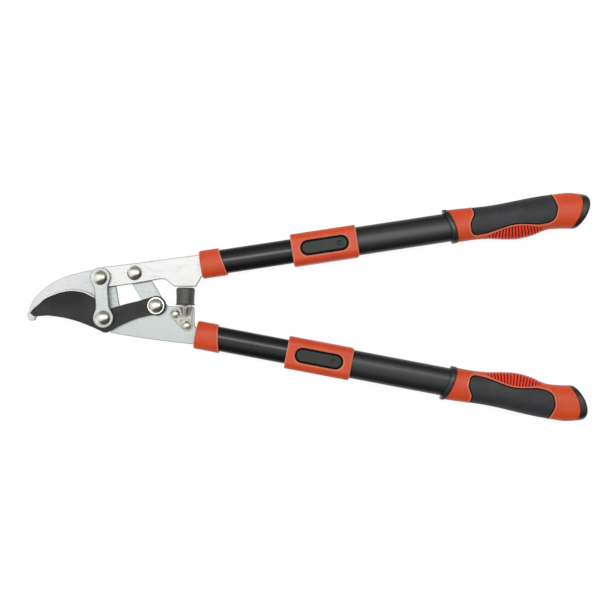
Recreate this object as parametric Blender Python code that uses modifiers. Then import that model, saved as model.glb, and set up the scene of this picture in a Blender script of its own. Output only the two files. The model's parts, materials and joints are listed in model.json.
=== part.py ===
"""A telescopic lopper with compound levers, lying on its back, jaws shut and both handles pushed in.

+X runs along the middle line between the handles, from the jaws to the grips. +Y runs across, towards the
upper handle, and +Z up from the surface that the tool lies on. The blade is worked by four pivots, each handle
slides in two tubes, and each slide has a lock with a rocker button.
"""
import math

import bmesh
import bpy

MM = 0.001

# Fits
gap = 0.3 * MM
tube_play = 1.05 * MM
button_play = 0.7 * MM
stop_clearance = 1.2 * MM
lock_hole_play = 1.5 * MM
link_slack = 1.6 * MM

# Layout of the shut, pushed-in tool
main_pivot_x = -207.5 * MM
main_pivot_y = 31.0 * MM
handle_crossing_x = -375.4 * MM
handle_half_angle = math.radians(9.69)

# Pivots, measured from the main pivot
blade_pivot = (26.4 * MM, -38.7 * MM)
link_upper = (-40.2 * MM, -6.5 * MM)
link_lower = (-35.7 * MM, -54.2 * MM)

# Plates of the head
hook_thickness = 5.0 * MM
lever_thickness = 5.0 * MM
blade_thickness = 4.8 * MM
link_thickness = 4.0 * MM
plate_edge = 0.5 * MM
tang_fillet = 5.0 * MM
hook_ledge_drop = 1.0 * MM
hook_ledge_end = 9.2 * MM
link_edge = 1.0 * MM
link_end_radius = 12.2 * MM
link_waist = 15.4 * MM
link_neck_radius = 16.0 * MM
lever_end_radius = 12.4 * MM
lever_stop_overhang = 3.0 * MM
pivot_boss_radius = 10.6 * MM
blade_tail_radius = 11.7 * MM
bevel_width = 2.6 * MM
bevel_at_tip = 0.55
bevel_growth = 4.0
bevel_runout = 9.0
edge_land = 0.7 * MM

# Pivot bolts, nuts and link screws
bolt_radius = 5.0 * MM
dome_radius = 8.8 * MM
dome_height = 4.0 * MM
dome_land = 0.8 * MM
washer_radius = 10.2 * MM
washer_thickness = 1.5 * MM
nut_height = 7.0 * MM
nut_flats = 17.0 * MM
nut_chamfer = 0.3 * MM
screw_radius = 4.0 * MM

# Bumper, from the main pivot
bumper_x = 62.0 * MM
bumper_seat_y = -37.8 * MM
bumper_radius = 11.5 * MM
bumper_height = 21.0 * MM
bumper_forward = 9.2 * MM
rubber_rim = 3.0 * MM
rubber_shoulder = 0.4 * MM
rubber_waist = 0.9 * MM
rubber_skirt = 1.2 * MM
bracket_thickness = 2.0 * MM
bracket_reach = 16.0 * MM
bracket_half_width = 7.2 * MM
bracket_ear_radius = 6.5 * MM
bracket_rivet_left = (49.2 * MM, -48.1 * MM)
bracket_rivet_right = (63.0 * MM, -61.8 * MM)
rivet_head_radius = 5.2 * MM
rivet_head_height = 2.8 * MM
rivet_radius = 2.4 * MM
rivet_upset = 1.4 * MM
rivet_upset_height = 1.2 * MM
stud_radius = 3.0 * MM
stud_length = 23.0 * MM
bumper_nut_radius = 6.4 * MM
bumper_nut_height = 8.0 * MM
bumper_nut_flange = 1.6 * MM
bumper_nut_step = 1.0 * MM

# Tubes
outer_tube_width = 34.2 * MM
outer_tube_depth = 24.0 * MM
tube_wall = 1.4 * MM
tube_roundness = 2.4
tube_in_grip = 128.0 * MM
inner_tube_short = 18.0 * MM
detent_pitch = 60.0 * MM
detent_count = 5
detent_radius = 4.0 * MM
glide_length = 4.0 * MM
glide_plug_length = 16.0 * MM
glide_lead = 1.0 * MM

# Stations along each handle, measured from where the two handles' axes cross
upper_ferrule_start = 249.3 * MM
upper_collar_start = 360.6 * MM
upper_grip_start = 547.2 * MM
lower_ferrule_start = 245.5 * MM
lower_collar_start = 356.4 * MM
lower_grip_start = 548.6 * MM

# Ferrules and tangs
ferrule_length = 28.2 * MM
ferrule_width = 33.8 * MM
ferrule_depth = 26.4 * MM
ferrule_wall = 3.0 * MM
ferrule_slant = 0.2
ferrule_nose = 1.2 * MM
ferrule_rim = 0.8 * MM
tang_length = 70.0 * MM
tang_half_width = 10.6 * MM
tang_shoulder_outer = 12.4 * MM
lever_shoulder_inner = 14.3 * MM
hook_tang_inner = 7.5 * MM
tang_screw_station = 15.0 * MM
tang_screw_radius = 2.5 * MM
tang_screw_head = 4.4 * MM
tang_screw_head_height = 1.8 * MM
plug_skin = 1.5 * MM

# Lock collars
collar_length = 78.2 * MM
collar_width = 38.6 * MM
collar_drop = 14.8 * MM
collar_rise = 20.0 * MM
collar_lip = 3.0 * MM
collar_corner = 9.0 * MM
collar_foot_corner = 6.0 * MM
collar_edge = 1.0 * MM
collar_screw_station = 63.0 * MM
collar_screw_radius = 2.0 * MM
collar_screw_head = 3.6 * MM
collar_screw_head_height = 1.2 * MM
slot_length = 57.6 * MM
slot_width = 18.0 * MM
slot_rim = 1.9 * MM
slot_rim_depth = 1.5 * MM
slot_undercut = 1.5 * MM

# Rocker buttons
button_proud = 0.4 * MM
button_thickness = 3.8 * MM
button_foot = 0.6 * MM
button_shoulder = 1.3 * MM
button_shoulder_inset = 0.7 * MM
button_crown = 0.5 * MM
button_crown_inset = 2.6 * MM
button_pivot_drop = 4.0 * MM
button_lug_radius = 3.4 * MM
button_lug_width = 12.0 * MM
rocker_pin_radius = 1.5 * MM
rocker_pin_length = 30.0 * MM
lock_pin_offset = 22.0 * MM
lock_pin_radius = 3.4 * MM
lock_pin_neck = 2.0 * MM
lock_pin_cover = 1.8 * MM
lock_pin_lead = 1.0 * MM
dimple_offset = 17.5 * MM
dimple_radius = 6.0 * MM
dimple_depth = 0.9 * MM
spring_offset = 18.0 * MM
spring_length = 16.0 * MM
spring_width = 7.0 * MM
spring_strip = 0.5 * MM
spring_steps = 8

# Grips: stations along the grip with how far its skin stands off the tube's outwards, inwards and in depth
grip_stations = (
    (0.0, 3.9, 2.3, 1.6),
    (20.0, 3.1, 2.1, 1.6),
    (40.0, 1.9, 2.7, 1.8),
    (53.0, 1.5, 4.7, 2.1),
    (68.0, 1.7, 7.6, 2.6),
    (85.0, 2.5, 9.3, 2.8),
    (102.0, 3.3, 7.5, 2.6),
    (119.0, 3.7, 3.4, 2.1),
    (133.0, 3.3, 4.1, 2.0),
    (149.0, 2.6, 6.5, 2.2),
    (161.0, -0.1, 8.5, 1.8),
    (177.0, -5.3, 10.9, 0.6),
)
grip_roundness = 2.3
ring_front = 1.4 * MM
ring_front_slant = 0.148
ring_back = 7.5 * MM
ring_back_slant = 0.186
ring_bow = 2.1 * MM
ring_bow_width = 21.0 * MM
ring_proud = 0.9 * MM
cap_seam = 163.2 * MM
cap_seam_top = 9.6 * MM
cap_seam_curve = 14.9
cap_end = 172.9 * MM
cap_end_top = 7.2 * MM
cap_end_curve = 19.4
cap_rounding = 3.0 * MM
spigot_length = 22.0 * MM
spigot_width = 18.0 * MM
spigot_depth = 14.0 * MM
pad_corners = (
    (31.5, 40.0, 1.0), (33.8, 10.2, 7.0), (27.2, -0.2, 8.0), (27.5, -15.4, 11.0), (46.6, -14.6, 30.0),
    (80.0, -8.2, 60.0), (108.6, -13.8, 20.0), (127.2, -13.2, 16.0), (133.0, 3.3, 12.0), (125.0, 40.0, 1.0),
)
grip_reach = 40.0 * MM
rib_middle = 79.4 * MM
rib_pitch = 3.8 * MM
rib_count = 17
rib_depth = 1.0 * MM
rib_field_top = 10.4 * MM
rib_field_fall = 7.5 * MM
rib_field_fade = 3.0 * MM
rib_side = -18.0 * MM

# Fineness of round shapes
arc_step = math.radians(22.5)
round_steps = 16
small_steps = 10
tube_sides = 16
grip_sides = 16
grip_rings = 10
core_end_rings = 3
dome_rings = 4
skin_passes = 8
through = 0.03

# Heights of the layers of the head, measured from the tubes' axes
axis_height = collar_drop
hook_high = -gap / 2
hook_low = hook_high - hook_thickness
middle_low = gap / 2
link_low = middle_low + max(lever_thickness, blade_thickness) + gap
link_high = link_low + link_thickness

inner_tube_width = outer_tube_width - 2 * (tube_wall + tube_play)
inner_tube_depth = outer_tube_depth - 2 * (tube_wall + tube_play)
slot_middle = collar_length / 2
button_high = collar_rise + button_proud
button_low = button_high - button_thickness
button_pivot = button_high - button_pivot_drop
lock_pin_station = slot_middle - lock_pin_offset
outer_tube_start = collar_lip + gap

SATIN_STEEL = ((0.66, 0.67, 0.66), 0.34, 1.0)
COATED_STEEL = ((0.035, 0.035, 0.037), 0.42, 0.3)
NICKEL = ((0.72, 0.69, 0.60), 0.18, 1.0)
ZINC = ((0.50, 0.49, 0.44), 0.40, 1.0)
RED_PLASTIC = ((0.73, 0.09, 0.045), 0.42, 0.0)
BLACK_TUBE = ((0.018, 0.018, 0.018), 0.30, 0.4)
BLACK_PLASTIC = ((0.022, 0.024, 0.025), 0.38, 0.0)
SOFT_BLACK = ((0.035, 0.036, 0.038), 0.62, 0.0)
SPRING_STEEL = ((0.45, 0.45, 0.46), 0.30, 1.0)


def new_collection(name):
    collection = bpy.data.collections.new(name)
    bpy.context.scene.collection.children.link(collection)
    return collection


def new_frame(name, location, parent=None, turn=0.0):
    """An empty that carries pieces, on the axis that they turn about or at the start of their slide."""
    frame = bpy.data.objects.new(name, None)
    frame.empty_display_size = 0.02
    frame.location = location
    frame.rotation_euler = (0.0, 0.0, turn)
    frame.parent = parent
    lopper.objects.link(frame)
    return frame


def new_piece(name, work, frame, look):
    """Turns a finished bmesh into an object on its frame. A piece without a look is a cutter."""
    bmesh.ops.recalc_face_normals(work, faces=work.faces)
    mesh = bpy.data.meshes.new(name)
    work.to_mesh(mesh)
    work.free()
    piece = bpy.data.objects.new(name, mesh)
    piece.parent = frame
    if look is None:
        cutters.objects.link(piece)
        piece.hide_render = True
        piece.display_type = "WIRE"
    else:
        lopper.objects.link(piece)
        mesh.shade_smooth()
        mesh.set_sharp_from_angle(angle=math.radians(32.0))
        paint(piece, look)
    return piece


def paint(piece, look):
    colour, roughness, metallic = look
    material = bpy.data.materials.new(piece.name)
    material.use_nodes = True
    shader = material.node_tree.nodes["Principled BSDF"]
    shader.inputs["Base Color"].default_value = (*colour, 1.0)
    shader.inputs["Roughness"].default_value = roughness
    shader.inputs["Metallic"].default_value = metallic
    piece.data.materials.append(material)


def apply_boolean(piece, tool, operation="DIFFERENCE"):
    modifier = piece.modifiers.new(tool.name, "BOOLEAN")
    modifier.operation = operation
    modifier.object = tool


def soften(piece, width, segments=1):
    modifier = piece.modifiers.new("softened edges", "BEVEL")
    modifier.width = width
    modifier.segments = segments
    modifier.limit_method = "ANGLE"
    modifier.angle_limit = math.radians(50.0)


def millimetres(*points):
    return [tuple(value * MM for value in point) for point in points]


def arc(centre, radius, start, end):
    """Points of a circular arc between two directions in degrees, either way round."""
    start, end = math.radians(start), math.radians(end)
    steps = max(2, math.ceil(abs(end - start) / arc_step - 0.01))
    angles = [start + (end - start) * step / steps for step in range(steps + 1)]
    return [(centre[0] + radius * math.cos(a), centre[1] + radius * math.sin(a)) for a in angles]


def smooth_run(points, steps):
    """A smooth open run through every point given (Catmull-Rom)."""
    run = []
    ends = [points[0]] + list(points) + [points[-1]]
    for a, b, c, d in zip(ends, ends[1:], ends[2:], ends[3:]):
        for step in range(steps):
            t = step / steps
            run.append(tuple(
                0.5 * (2 * q + (r - p) * t + (2 * p - 5 * q + 4 * r - s) * t ** 2
                       + (3 * q - p - 3 * r + s) * t ** 3)
                for p, q, r, s in zip(a, b, c, d)))
    return run + [tuple(points[-1])]


def round_corners(corners):
    """Closes an outline, with an arc at each corner that has a third value, its radius."""
    outline = []
    for index, corner in enumerate(corners):
        if len(corner) == 2:
            outline.append(tuple(corner))
            continue
        x, y, radius = corner
        before, after = corners[index - 1], corners[(index + 1) % len(corners)]
        back = (before[0] - x, before[1] - y)
        ahead = (after[0] - x, after[1] - y)
        back_length, ahead_length = math.hypot(*back), math.hypot(*ahead)
        cosine = (back[0] * ahead[0] + back[1] * ahead[1]) / (back_length * ahead_length)
        opening = math.acos(max(-1.0, min(1.0, cosine)))
        reach = min(radius / math.tan(opening / 2), 0.48 * back_length, 0.48 * ahead_length)
        radius = reach * math.tan(opening / 2)
        first = (x + back[0] / back_length * reach, y + back[1] / back_length * reach)
        last = (x + ahead[0] / ahead_length * reach, y + ahead[1] / ahead_length * reach)
        middle = ((first[0] + last[0]) / 2, (first[1] + last[1]) / 2)
        to_middle = math.hypot(middle[0] - x, middle[1] - y)
        to_centre = math.hypot(reach, radius)
        centre = (x + (middle[0] - x) / to_middle * to_centre, y + (middle[1] - y) / to_middle * to_centre)
        start = math.atan2(first[1] - centre[1], first[0] - centre[0])
        turn = math.atan2(last[1] - centre[1], last[0] - centre[0]) - start
        turn = (turn + math.pi) % math.tau - math.pi
        steps = max(1, math.ceil(abs(turn) / arc_step - 0.01))
        for step in range(steps + 1):
            angle = start + turn * step / steps
            outline.append((centre[0] + radius * math.cos(angle), centre[1] + radius * math.sin(angle)))
    return outline


def moved(points, origin):
    return [(x - origin[0], y - origin[1]) for x, y in points]


def stadium(length, width):
    """A slot outline with round ends, about its own middle."""
    half, radius = (length - width) / 2, width / 2
    return arc((half, 0.0), radius, -90, 90) + arc((-half, 0.0), radius, 90, 270)


def flat_plate(name, outline, low, thickness, frame, look):
    """A flat outline with thickness, its caps joined into single faces so that its rims can be softened."""
    curve = bpy.data.curves.new(name, "CURVE")
    curve.dimensions = "2D"
    curve.fill_mode = "BOTH"
    curve.extrude = thickness / 2
    spline = curve.splines.new("POLY")
    spline.points.add(len(outline) - 1)
    for point, (x, y) in zip(spline.points, outline):
        point.co = (x, y, 0.0, 1.0)
    spline.use_cyclic_u = True
    holder = bpy.data.objects.new(name + "_outline", curve)
    lopper.objects.link(holder)
    evaluated = holder.evaluated_get(bpy.context.evaluated_depsgraph_get())
    work = bmesh.new()
    flat = bpy.data.meshes.new_from_object(evaluated)
    work.from_mesh(flat)
    bpy.data.meshes.remove(flat)
    bpy.data.objects.remove(holder, do_unlink=True)
    bpy.data.curves.remove(curve)
    bmesh.ops.remove_doubles(work, verts=work.verts, dist=0.000005)
    for direction in (1.0, -1.0):
        cap = [face for face in work.faces if face.normal.z * direction > 0.99]
        bmesh.ops.dissolve_faces(work, faces=cap)
    bmesh.ops.translate(work, verts=work.verts, vec=(0.0, 0.0, low + thickness / 2))
    return new_piece(name, work, frame, look)


def loft(name, rings, frame, look, caps="flat"):
    """Skins a row of rings. Caps are flat faces, strips between mirrored points, or none on a closed row."""
    work = bmesh.new()
    loops = [[work.verts.new(point) for point in ring] for ring in rings]
    count = len(loops[0])
    pairs = list(zip(loops, loops[1:]))
    if caps == "closed":
        pairs.append((loops[-1], loops[0]))
    for first, second in pairs:
        for i in range(count):
            j = (i + 1) % count
            work.faces.new((first[i], first[j], second[j], second[i]))
    if caps == "flat":
        work.faces.new(loops[0])
        work.faces.new(loops[-1])
    if caps == "strips":
        half = count // 2
        for loop in (loops[0], loops[-1]):
            work.faces.new((loop[0], loop[1], loop[count - 1]))
            work.faces.new((loop[half - 1], loop[half], loop[half + 1]))
            for i in range(1, half - 1):
                work.faces.new((loop[i], loop[i + 1], loop[count - i - 1], loop[count - i]))
    return new_piece(name, work, frame, look)


def turned(name, profile, frame, look, at=(0.0, 0.0, 0.0), tilt=(0.0, 0.0, 0.0), steps=round_steps,
           bored=False):
    """A turned piece. The profile of (radius, height) runs down its outer side, and closes if it is bored."""
    work = bmesh.new()
    points = [work.verts.new((radius, 0.0, height)) for radius, height in profile]
    for first, second in zip(points, points[1:]):
        work.edges.new((first, second))
    if bored:
        work.edges.new((points[-1], points[0]))
    piece = new_piece(name, work, frame, look)
    piece.location = at
    piece.rotation_euler = tilt
    screw = piece.modifiers.new("turned", "SCREW")
    screw.axis = "Z"
    screw.steps = steps
    screw.render_steps = steps
    screw.use_merge_vertices = True
    screw.merge_threshold = 0.00001
    return piece


def round_tool(name, radius, low, high, frame, at=(0.0, 0.0), tilt=(0.0, 0.0, 0.0), steps=round_steps):
    """A plain round cutter between two heights along its own axis."""
    work = bmesh.new()
    bmesh.ops.create_cone(work, cap_ends=True, segments=steps, radius1=radius, radius2=radius,
                          depth=high - low)
    bmesh.ops.translate(work, verts=work.verts, vec=(0.0, 0.0, (low + high) / 2))
    tool = new_piece(name, work, frame, None)
    tool.location = (*at, 0.0) if len(at) == 2 else at
    tool.rotation_euler = tilt
    return tool


def box_tool(name, low, high, frame):
    work = bmesh.new()
    bmesh.ops.create_cube(work, size=1.0)
    bmesh.ops.scale(work, verts=work.verts, vec=[b - a for a, b in zip(low, high)])
    bmesh.ops.translate(work, verts=work.verts, vec=[(a + b) / 2 for a, b in zip(low, high)])
    return new_piece(name, work, frame, None)


def fuller(value, roundness):
    return math.copysign(abs(value) ** (2 / roundness), value)


def oval(width, depth, roundness=tube_roundness, sides=tube_sides):
    """Points (across, up) of an oval that is fuller than an ellipse."""
    points = []
    for step in range(sides):
        angle = math.tau * step / sides
        points.append((width / 2 * fuller(math.cos(angle), roundness),
                       depth / 2 * fuller(math.sin(angle), roundness)))
    return points


def oval_ring(station, width, depth, inset=0.0):
    return [(station, across, up) for across, up in oval(width - 2 * inset, depth - 2 * inset)]


def oval_tool(name, start, end, width, depth, frame):
    return loft(name, [oval_ring(start, width, depth), oval_ring(end, width, depth)], frame, None)


def oval_tube(name, start, length, width, depth, frame, look):
    """An open oval skin, thickened inwards by the tube's wall."""
    work = bmesh.new()
    loops = [[work.verts.new(point) for point in oval_ring(station, width, depth)]
             for station in (start, start + length)]
    count = len(loops[0])
    for i in range(count):
        j = (i + 1) % count
        work.faces.new((loops[0][i], loops[0][j], loops[1][j], loops[1][i]))
    piece = new_piece(name, work, frame, look)
    wall = piece.modifiers.new("wall", "SOLIDIFY")
    wall.thickness = tube_wall
    wall.offset = -1.0
    wall.use_even_offset = True
    return piece


def across_handle(side, along, across):
    """A point on a handle, seen from the main pivot. Across is positive away from the other handle."""
    cosine, sine = math.cos(handle_half_angle), math.sin(handle_half_angle)
    x = handle_crossing_x - main_pivot_x + along * cosine - across * sine
    y = -main_pivot_y + side * (along * sine + across * cosine)
    return (x, y)


def domed_head(head_low, shank_radius, radius=dome_radius, height=dome_height, land=dome_land):
    """A domed head's profile, from its top down to the start of the shank."""
    sphere = (radius ** 2 + height ** 2) / (2 * height)
    widest = math.asin(radius / sphere)
    top = head_low + land + height
    profile = []
    for step in range(dome_rings):
        angle = widest * step / (dome_rings - 1)
        profile.append((sphere * math.sin(angle), top - sphere * (1 - math.cos(angle))))
    return profile + [(radius, head_low), (shank_radius, head_low)]


def shank_end(radius, low):
    return [(radius, low + gap), (radius - gap, low), (0.0, low)]


def drill(piece, name, radius, frame, at, low=-through, high=through, tilt=(0.0, 0.0, 0.0), steps=round_steps):
    apply_boolean(piece, round_tool(name, radius, low, high, frame, at, tilt, steps))


def make_hook_plate(frame):
    """The lower jaw: hook, neck, band to the main pivot and tang, in one plate round a window."""
    outer = smooth_run(millimetres(
        (-129.0, -52.5), (-123.5, -37.3), (-112.2, -23.2), (-95.0, -10.8), (-75.4, -2.9), (-49.0, 3.7)), 3)
    boss = arc((0.0, 0.0), pivot_boss_radius, 112, 12)
    ledge = bumper_seat_y - hook_ledge_drop
    band = millimetres((20.8, -10.7), (31.2, -27.8)) + [(39.0 * MM, ledge, 3.0 * MM)]
    band += [(bumper_x + hook_ledge_end, ledge, 3.0 * MM)] + millimetres((71.5, -58.0, 4.0))
    start = lower_ferrule_start
    shoulder = start + ferrule_wall - gap
    tang = [
        across_handle(-1, start - ferrule_wall, -hook_tang_inner),
        across_handle(-1, start + tang_length, -hook_tang_inner),
        across_handle(-1, start + tang_length, tang_half_width),
        across_handle(-1, shoulder, tang_half_width),
        across_handle(-1, shoulder, tang_shoulder_outer),
        across_handle(-1, start - ferrule_wall, tang_shoulder_outer),
    ]
    tang[0] = (*tang[0], tang_fillet)
    lower_edge = millimetres((49.0, -82.3), (20.1, -79.1), (-6.8, -75.6), (-28.0, -72.3, 3.0))
    throat = smooth_run(millimetres((-33.5, -64.5), (-41.0, -51.0), (-49.0, -37.0), (-54.0, -31.8),
                                    (-62.0, -28.6), (-74.0, -27.0), (-86.0, -27.9), (-97.0, -31.5),
                                    (-107.0, -38.0), (-114.0, -46.0), (-118.3, -54.5)), 2)
    tip = millimetres((-120.9, -59.4, 2.0), (-127.4, -59.0, 3.5))
    outline = round_corners(outer + boss + band + tang + lower_edge + throat + tip)
    plate = flat_plate("hook_plate", outline, hook_low, hook_thickness, frame, SATIN_STEEL)
    soften(plate, plate_edge)
    window = round_corners(millimetres(
        (-24.0, -12.2, 3.0), (-4.3, -12.2, 3.0), (11.6, -37.4, 3.0), (4.0, -47.0, 4.0), (-17.6, -47.0, 3.0)))
    tool = flat_plate("hook_window", window, hook_low - gap, hook_thickness + 2 * gap, frame, None)
    apply_boolean(plate, tool)
    drill(plate, "hook_main_hole", bolt_radius + gap, frame, (0.0, 0.0))
    drill(plate, "hook_blade_hole", bolt_radius + gap, frame, blade_pivot)
    drill(plate, "hook_left_rivet_hole", rivet_radius + gap, frame, bracket_rivet_left, steps=small_steps)
    drill(plate, "hook_right_rivet_hole", rivet_radius + gap, frame, bracket_rivet_right,
          steps=small_steps)
    screw_at = across_handle(-1, start + tang_screw_station, 0.0)
    drill(plate, "hook_tang_hole", tang_screw_radius + gap, frame, screw_at, steps=small_steps)


def make_lever_plate(frame):
    """The upper handle's plate: eye of the link, main eye, flat stop for the bumper and tang."""
    eye = arc(link_upper, lever_end_radius, 278, 97)
    start = upper_ferrule_start
    shoulder = start + ferrule_wall - gap
    tang = [
        across_handle(1, start - ferrule_wall, tang_shoulder_outer),
        across_handle(1, shoulder, tang_shoulder_outer),
        across_handle(1, shoulder, tang_half_width),
        across_handle(1, start + tang_length, tang_half_width),
        across_handle(1, start + tang_length, -tang_half_width),
        across_handle(1, shoulder, -tang_half_width),
        across_handle(1, shoulder, -lever_shoulder_inner),
        across_handle(1, start - gap, -lever_shoulder_inner),
    ]
    stop_y = bumper_seat_y + gap + bumper_height + stop_clearance
    stop_start = bumper_x - bumper_radius - lever_stop_overhang
    stop_end = bumper_x + bumper_radius - gap
    stop = [(stop_end, stop_y, 1.5 * MM), (stop_start, stop_y, 2.5 * MM)]
    waist = millimetres((37.4, -7.3, 3.0), (30.3, -6.9, 4.0), (0.7, -12.7))
    outline = round_corners(eye + millimetres((0.3, 11.6)) + tang + stop + waist)
    plate = flat_plate("lever_plate", outline, middle_low, lever_thickness, frame, SATIN_STEEL)
    soften(plate, plate_edge)
    drill(plate, "lever_main_hole", bolt_radius + gap, frame, (0.0, 0.0))
    drill(plate, "lever_link_hole", screw_radius + gap, frame, link_upper)
    screw_at = across_handle(1, start + tang_screw_station, 0.0)
    drill(plate, "lever_tang_hole", tang_screw_radius + gap, frame, screw_at, steps=small_steps)


def make_cutting_blade(frame):
    """The blade with its ground edge along the crown, its shoulder for the link and its tail."""
    tip = millimetres((-122.8, -49.8))
    crown = smooth_run(millimetres((-119.7, -43.2), (-110.0, -32.4), (-97.3, -25.7), (-85.0, -21.7),
                                   (-72.7, -20.4), (-59.9, -22.3), (-47.5, -27.8)), 3)
    shoulder = millimetres((-45.9, -31.6, 1.2), (-42.0, -41.5, 4.0), (-30.5, -43.9, 6.0), (-18.7, -40.0),
                           (-6.8, -36.4), (3.2, -34.0))
    tail = arc(blade_pivot, blade_tail_radius, 116, -112)
    belly = smooth_run(millimetres((6.5, -53.2), (-6.4, -58.1), (-19.2, -64.4)), 2)
    heel_run = smooth_run(millimetres((-46.4, -66.9), (-65.6, -59.6), (-85.0, -54.9), (-102.8, -52.9)), 2)
    back = round_corners(tip + crown + shoulder + tail + belly + millimetres((-33.2, -73.0, 7.0))
                         + heel_run + millimetres((-118.8, -54.2)))
    back = moved(back, blade_pivot)
    ground = 1 + len(crown)
    front = list(back)
    for index in range(ground):
        before, after = back[index - 1] if index else back[0], back[index + 1]
        along = (after[0] - before[0], after[1] - before[1])
        length = math.hypot(*along)
        share = index / (ground - 1)
        width = bevel_width * min(1.0, bevel_at_tip + bevel_growth * share, bevel_runout * (1 - share))
        front[index] = (back[index][0] + along[1] / length * width, back[index][1] - along[0] / length * width)
    high = middle_low + blade_thickness
    rings = [[(x, y, middle_low) for x, y in back],
             [(x, y, middle_low + (edge_land if index < ground else blade_thickness / 2))
              for index, (x, y) in enumerate(back)],
             [(x, y, high) for x, y in front]]
    blade = loft("cutting_blade", rings, frame, COATED_STEEL)
    lower = moved([link_lower], blade_pivot)[0]
    drill(blade, "blade_pivot_hole", bolt_radius + gap, frame, (0.0, 0.0))
    drill(blade, "blade_link_hole", screw_radius + gap, frame, lower)


def make_drive_link(frame):
    """The dog-bone link: two round ends run into the waist by hollow flanks."""
    reach = (link_lower[0] - link_upper[0], link_lower[1] - link_upper[1])
    length = math.hypot(*reach)
    flank = link_waist / 2 + link_neck_radius
    depth = math.sqrt((link_end_radius + link_neck_radius) ** 2 - flank ** 2)
    lean = math.degrees(math.atan2(depth, flank))
    outline = arc((0.0, 0.0), link_end_radius, 180 - lean, 360 + lean)
    outline += arc((flank, depth), link_neck_radius, 180 + lean, 180)
    outline += arc((flank, length - depth), link_neck_radius, 180, 180 - lean)
    outline += arc((0.0, length), link_end_radius, -lean, 180 + lean)
    outline += arc((-flank, length - depth), link_neck_radius, lean, 0)
    outline += arc((-flank, depth), link_neck_radius, 0, -lean)[:-1]
    turn = math.atan2(reach[1], reach[0]) - math.pi / 2
    outline = [(x * math.cos(turn) - y * math.sin(turn), x * math.sin(turn) + y * math.cos(turn))
               for x, y in outline]
    link = flat_plate("drive_link", outline, link_low, link_thickness, frame, SATIN_STEEL)
    soften(link, link_edge)
    drill(link, "link_upper_hole", screw_radius + gap, frame, (0.0, 0.0))
    drill(link, "link_lower_hole", screw_radius + link_slack, frame, reach)


def make_pivot_bolt(name, frame, at, face, washer_in_front):
    """A domed bolt through the plates, with a washer and a nut behind them."""
    head_low = face + gap
    if washer_in_front:
        make_washer(name + "_front_washer", frame, at, head_low)
        head_low += washer_thickness + gap
    washer_high = hook_low - gap
    make_washer(name + "_washer", frame, at, washer_high - washer_thickness)
    nut_high = washer_high - washer_thickness - gap
    nut_low = nut_high - nut_height
    profile = domed_head(head_low, bolt_radius) + shank_end(bolt_radius, nut_low)
    turned(name + "_bolt", profile, frame, NICKEL, (*at, 0.0))
    work = bmesh.new()
    corner = nut_flats / 2 / math.cos(math.pi / 6)
    bmesh.ops.create_cone(work, cap_ends=True, segments=6, radius1=corner, radius2=corner, depth=nut_height)
    bmesh.ops.translate(work, verts=work.verts, vec=(0.0, 0.0, (nut_low + nut_high) / 2))
    nut = new_piece(name + "_nut", work, frame, ZINC)
    nut.location = (*at, 0.0)
    soften(nut, nut_chamfer)
    drill(nut, name + "_nut_hole", bolt_radius + gap, frame, at)


def make_washer(name, frame, at, low):
    bore, rim = bolt_radius + gap, washer_radius
    high = low + washer_thickness
    profile = [(bore, high), (rim - gap, high), (rim, high - gap), (rim, low), (bore, low)]
    turned(name, profile, frame, NICKEL, (*at, 0.0), bored=True)


def make_link_screw(name, frame, at):
    profile = domed_head(link_high + gap, screw_radius) + shank_end(screw_radius, middle_low)
    turned(name, profile, frame, NICKEL, (*at, 0.0))


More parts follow.
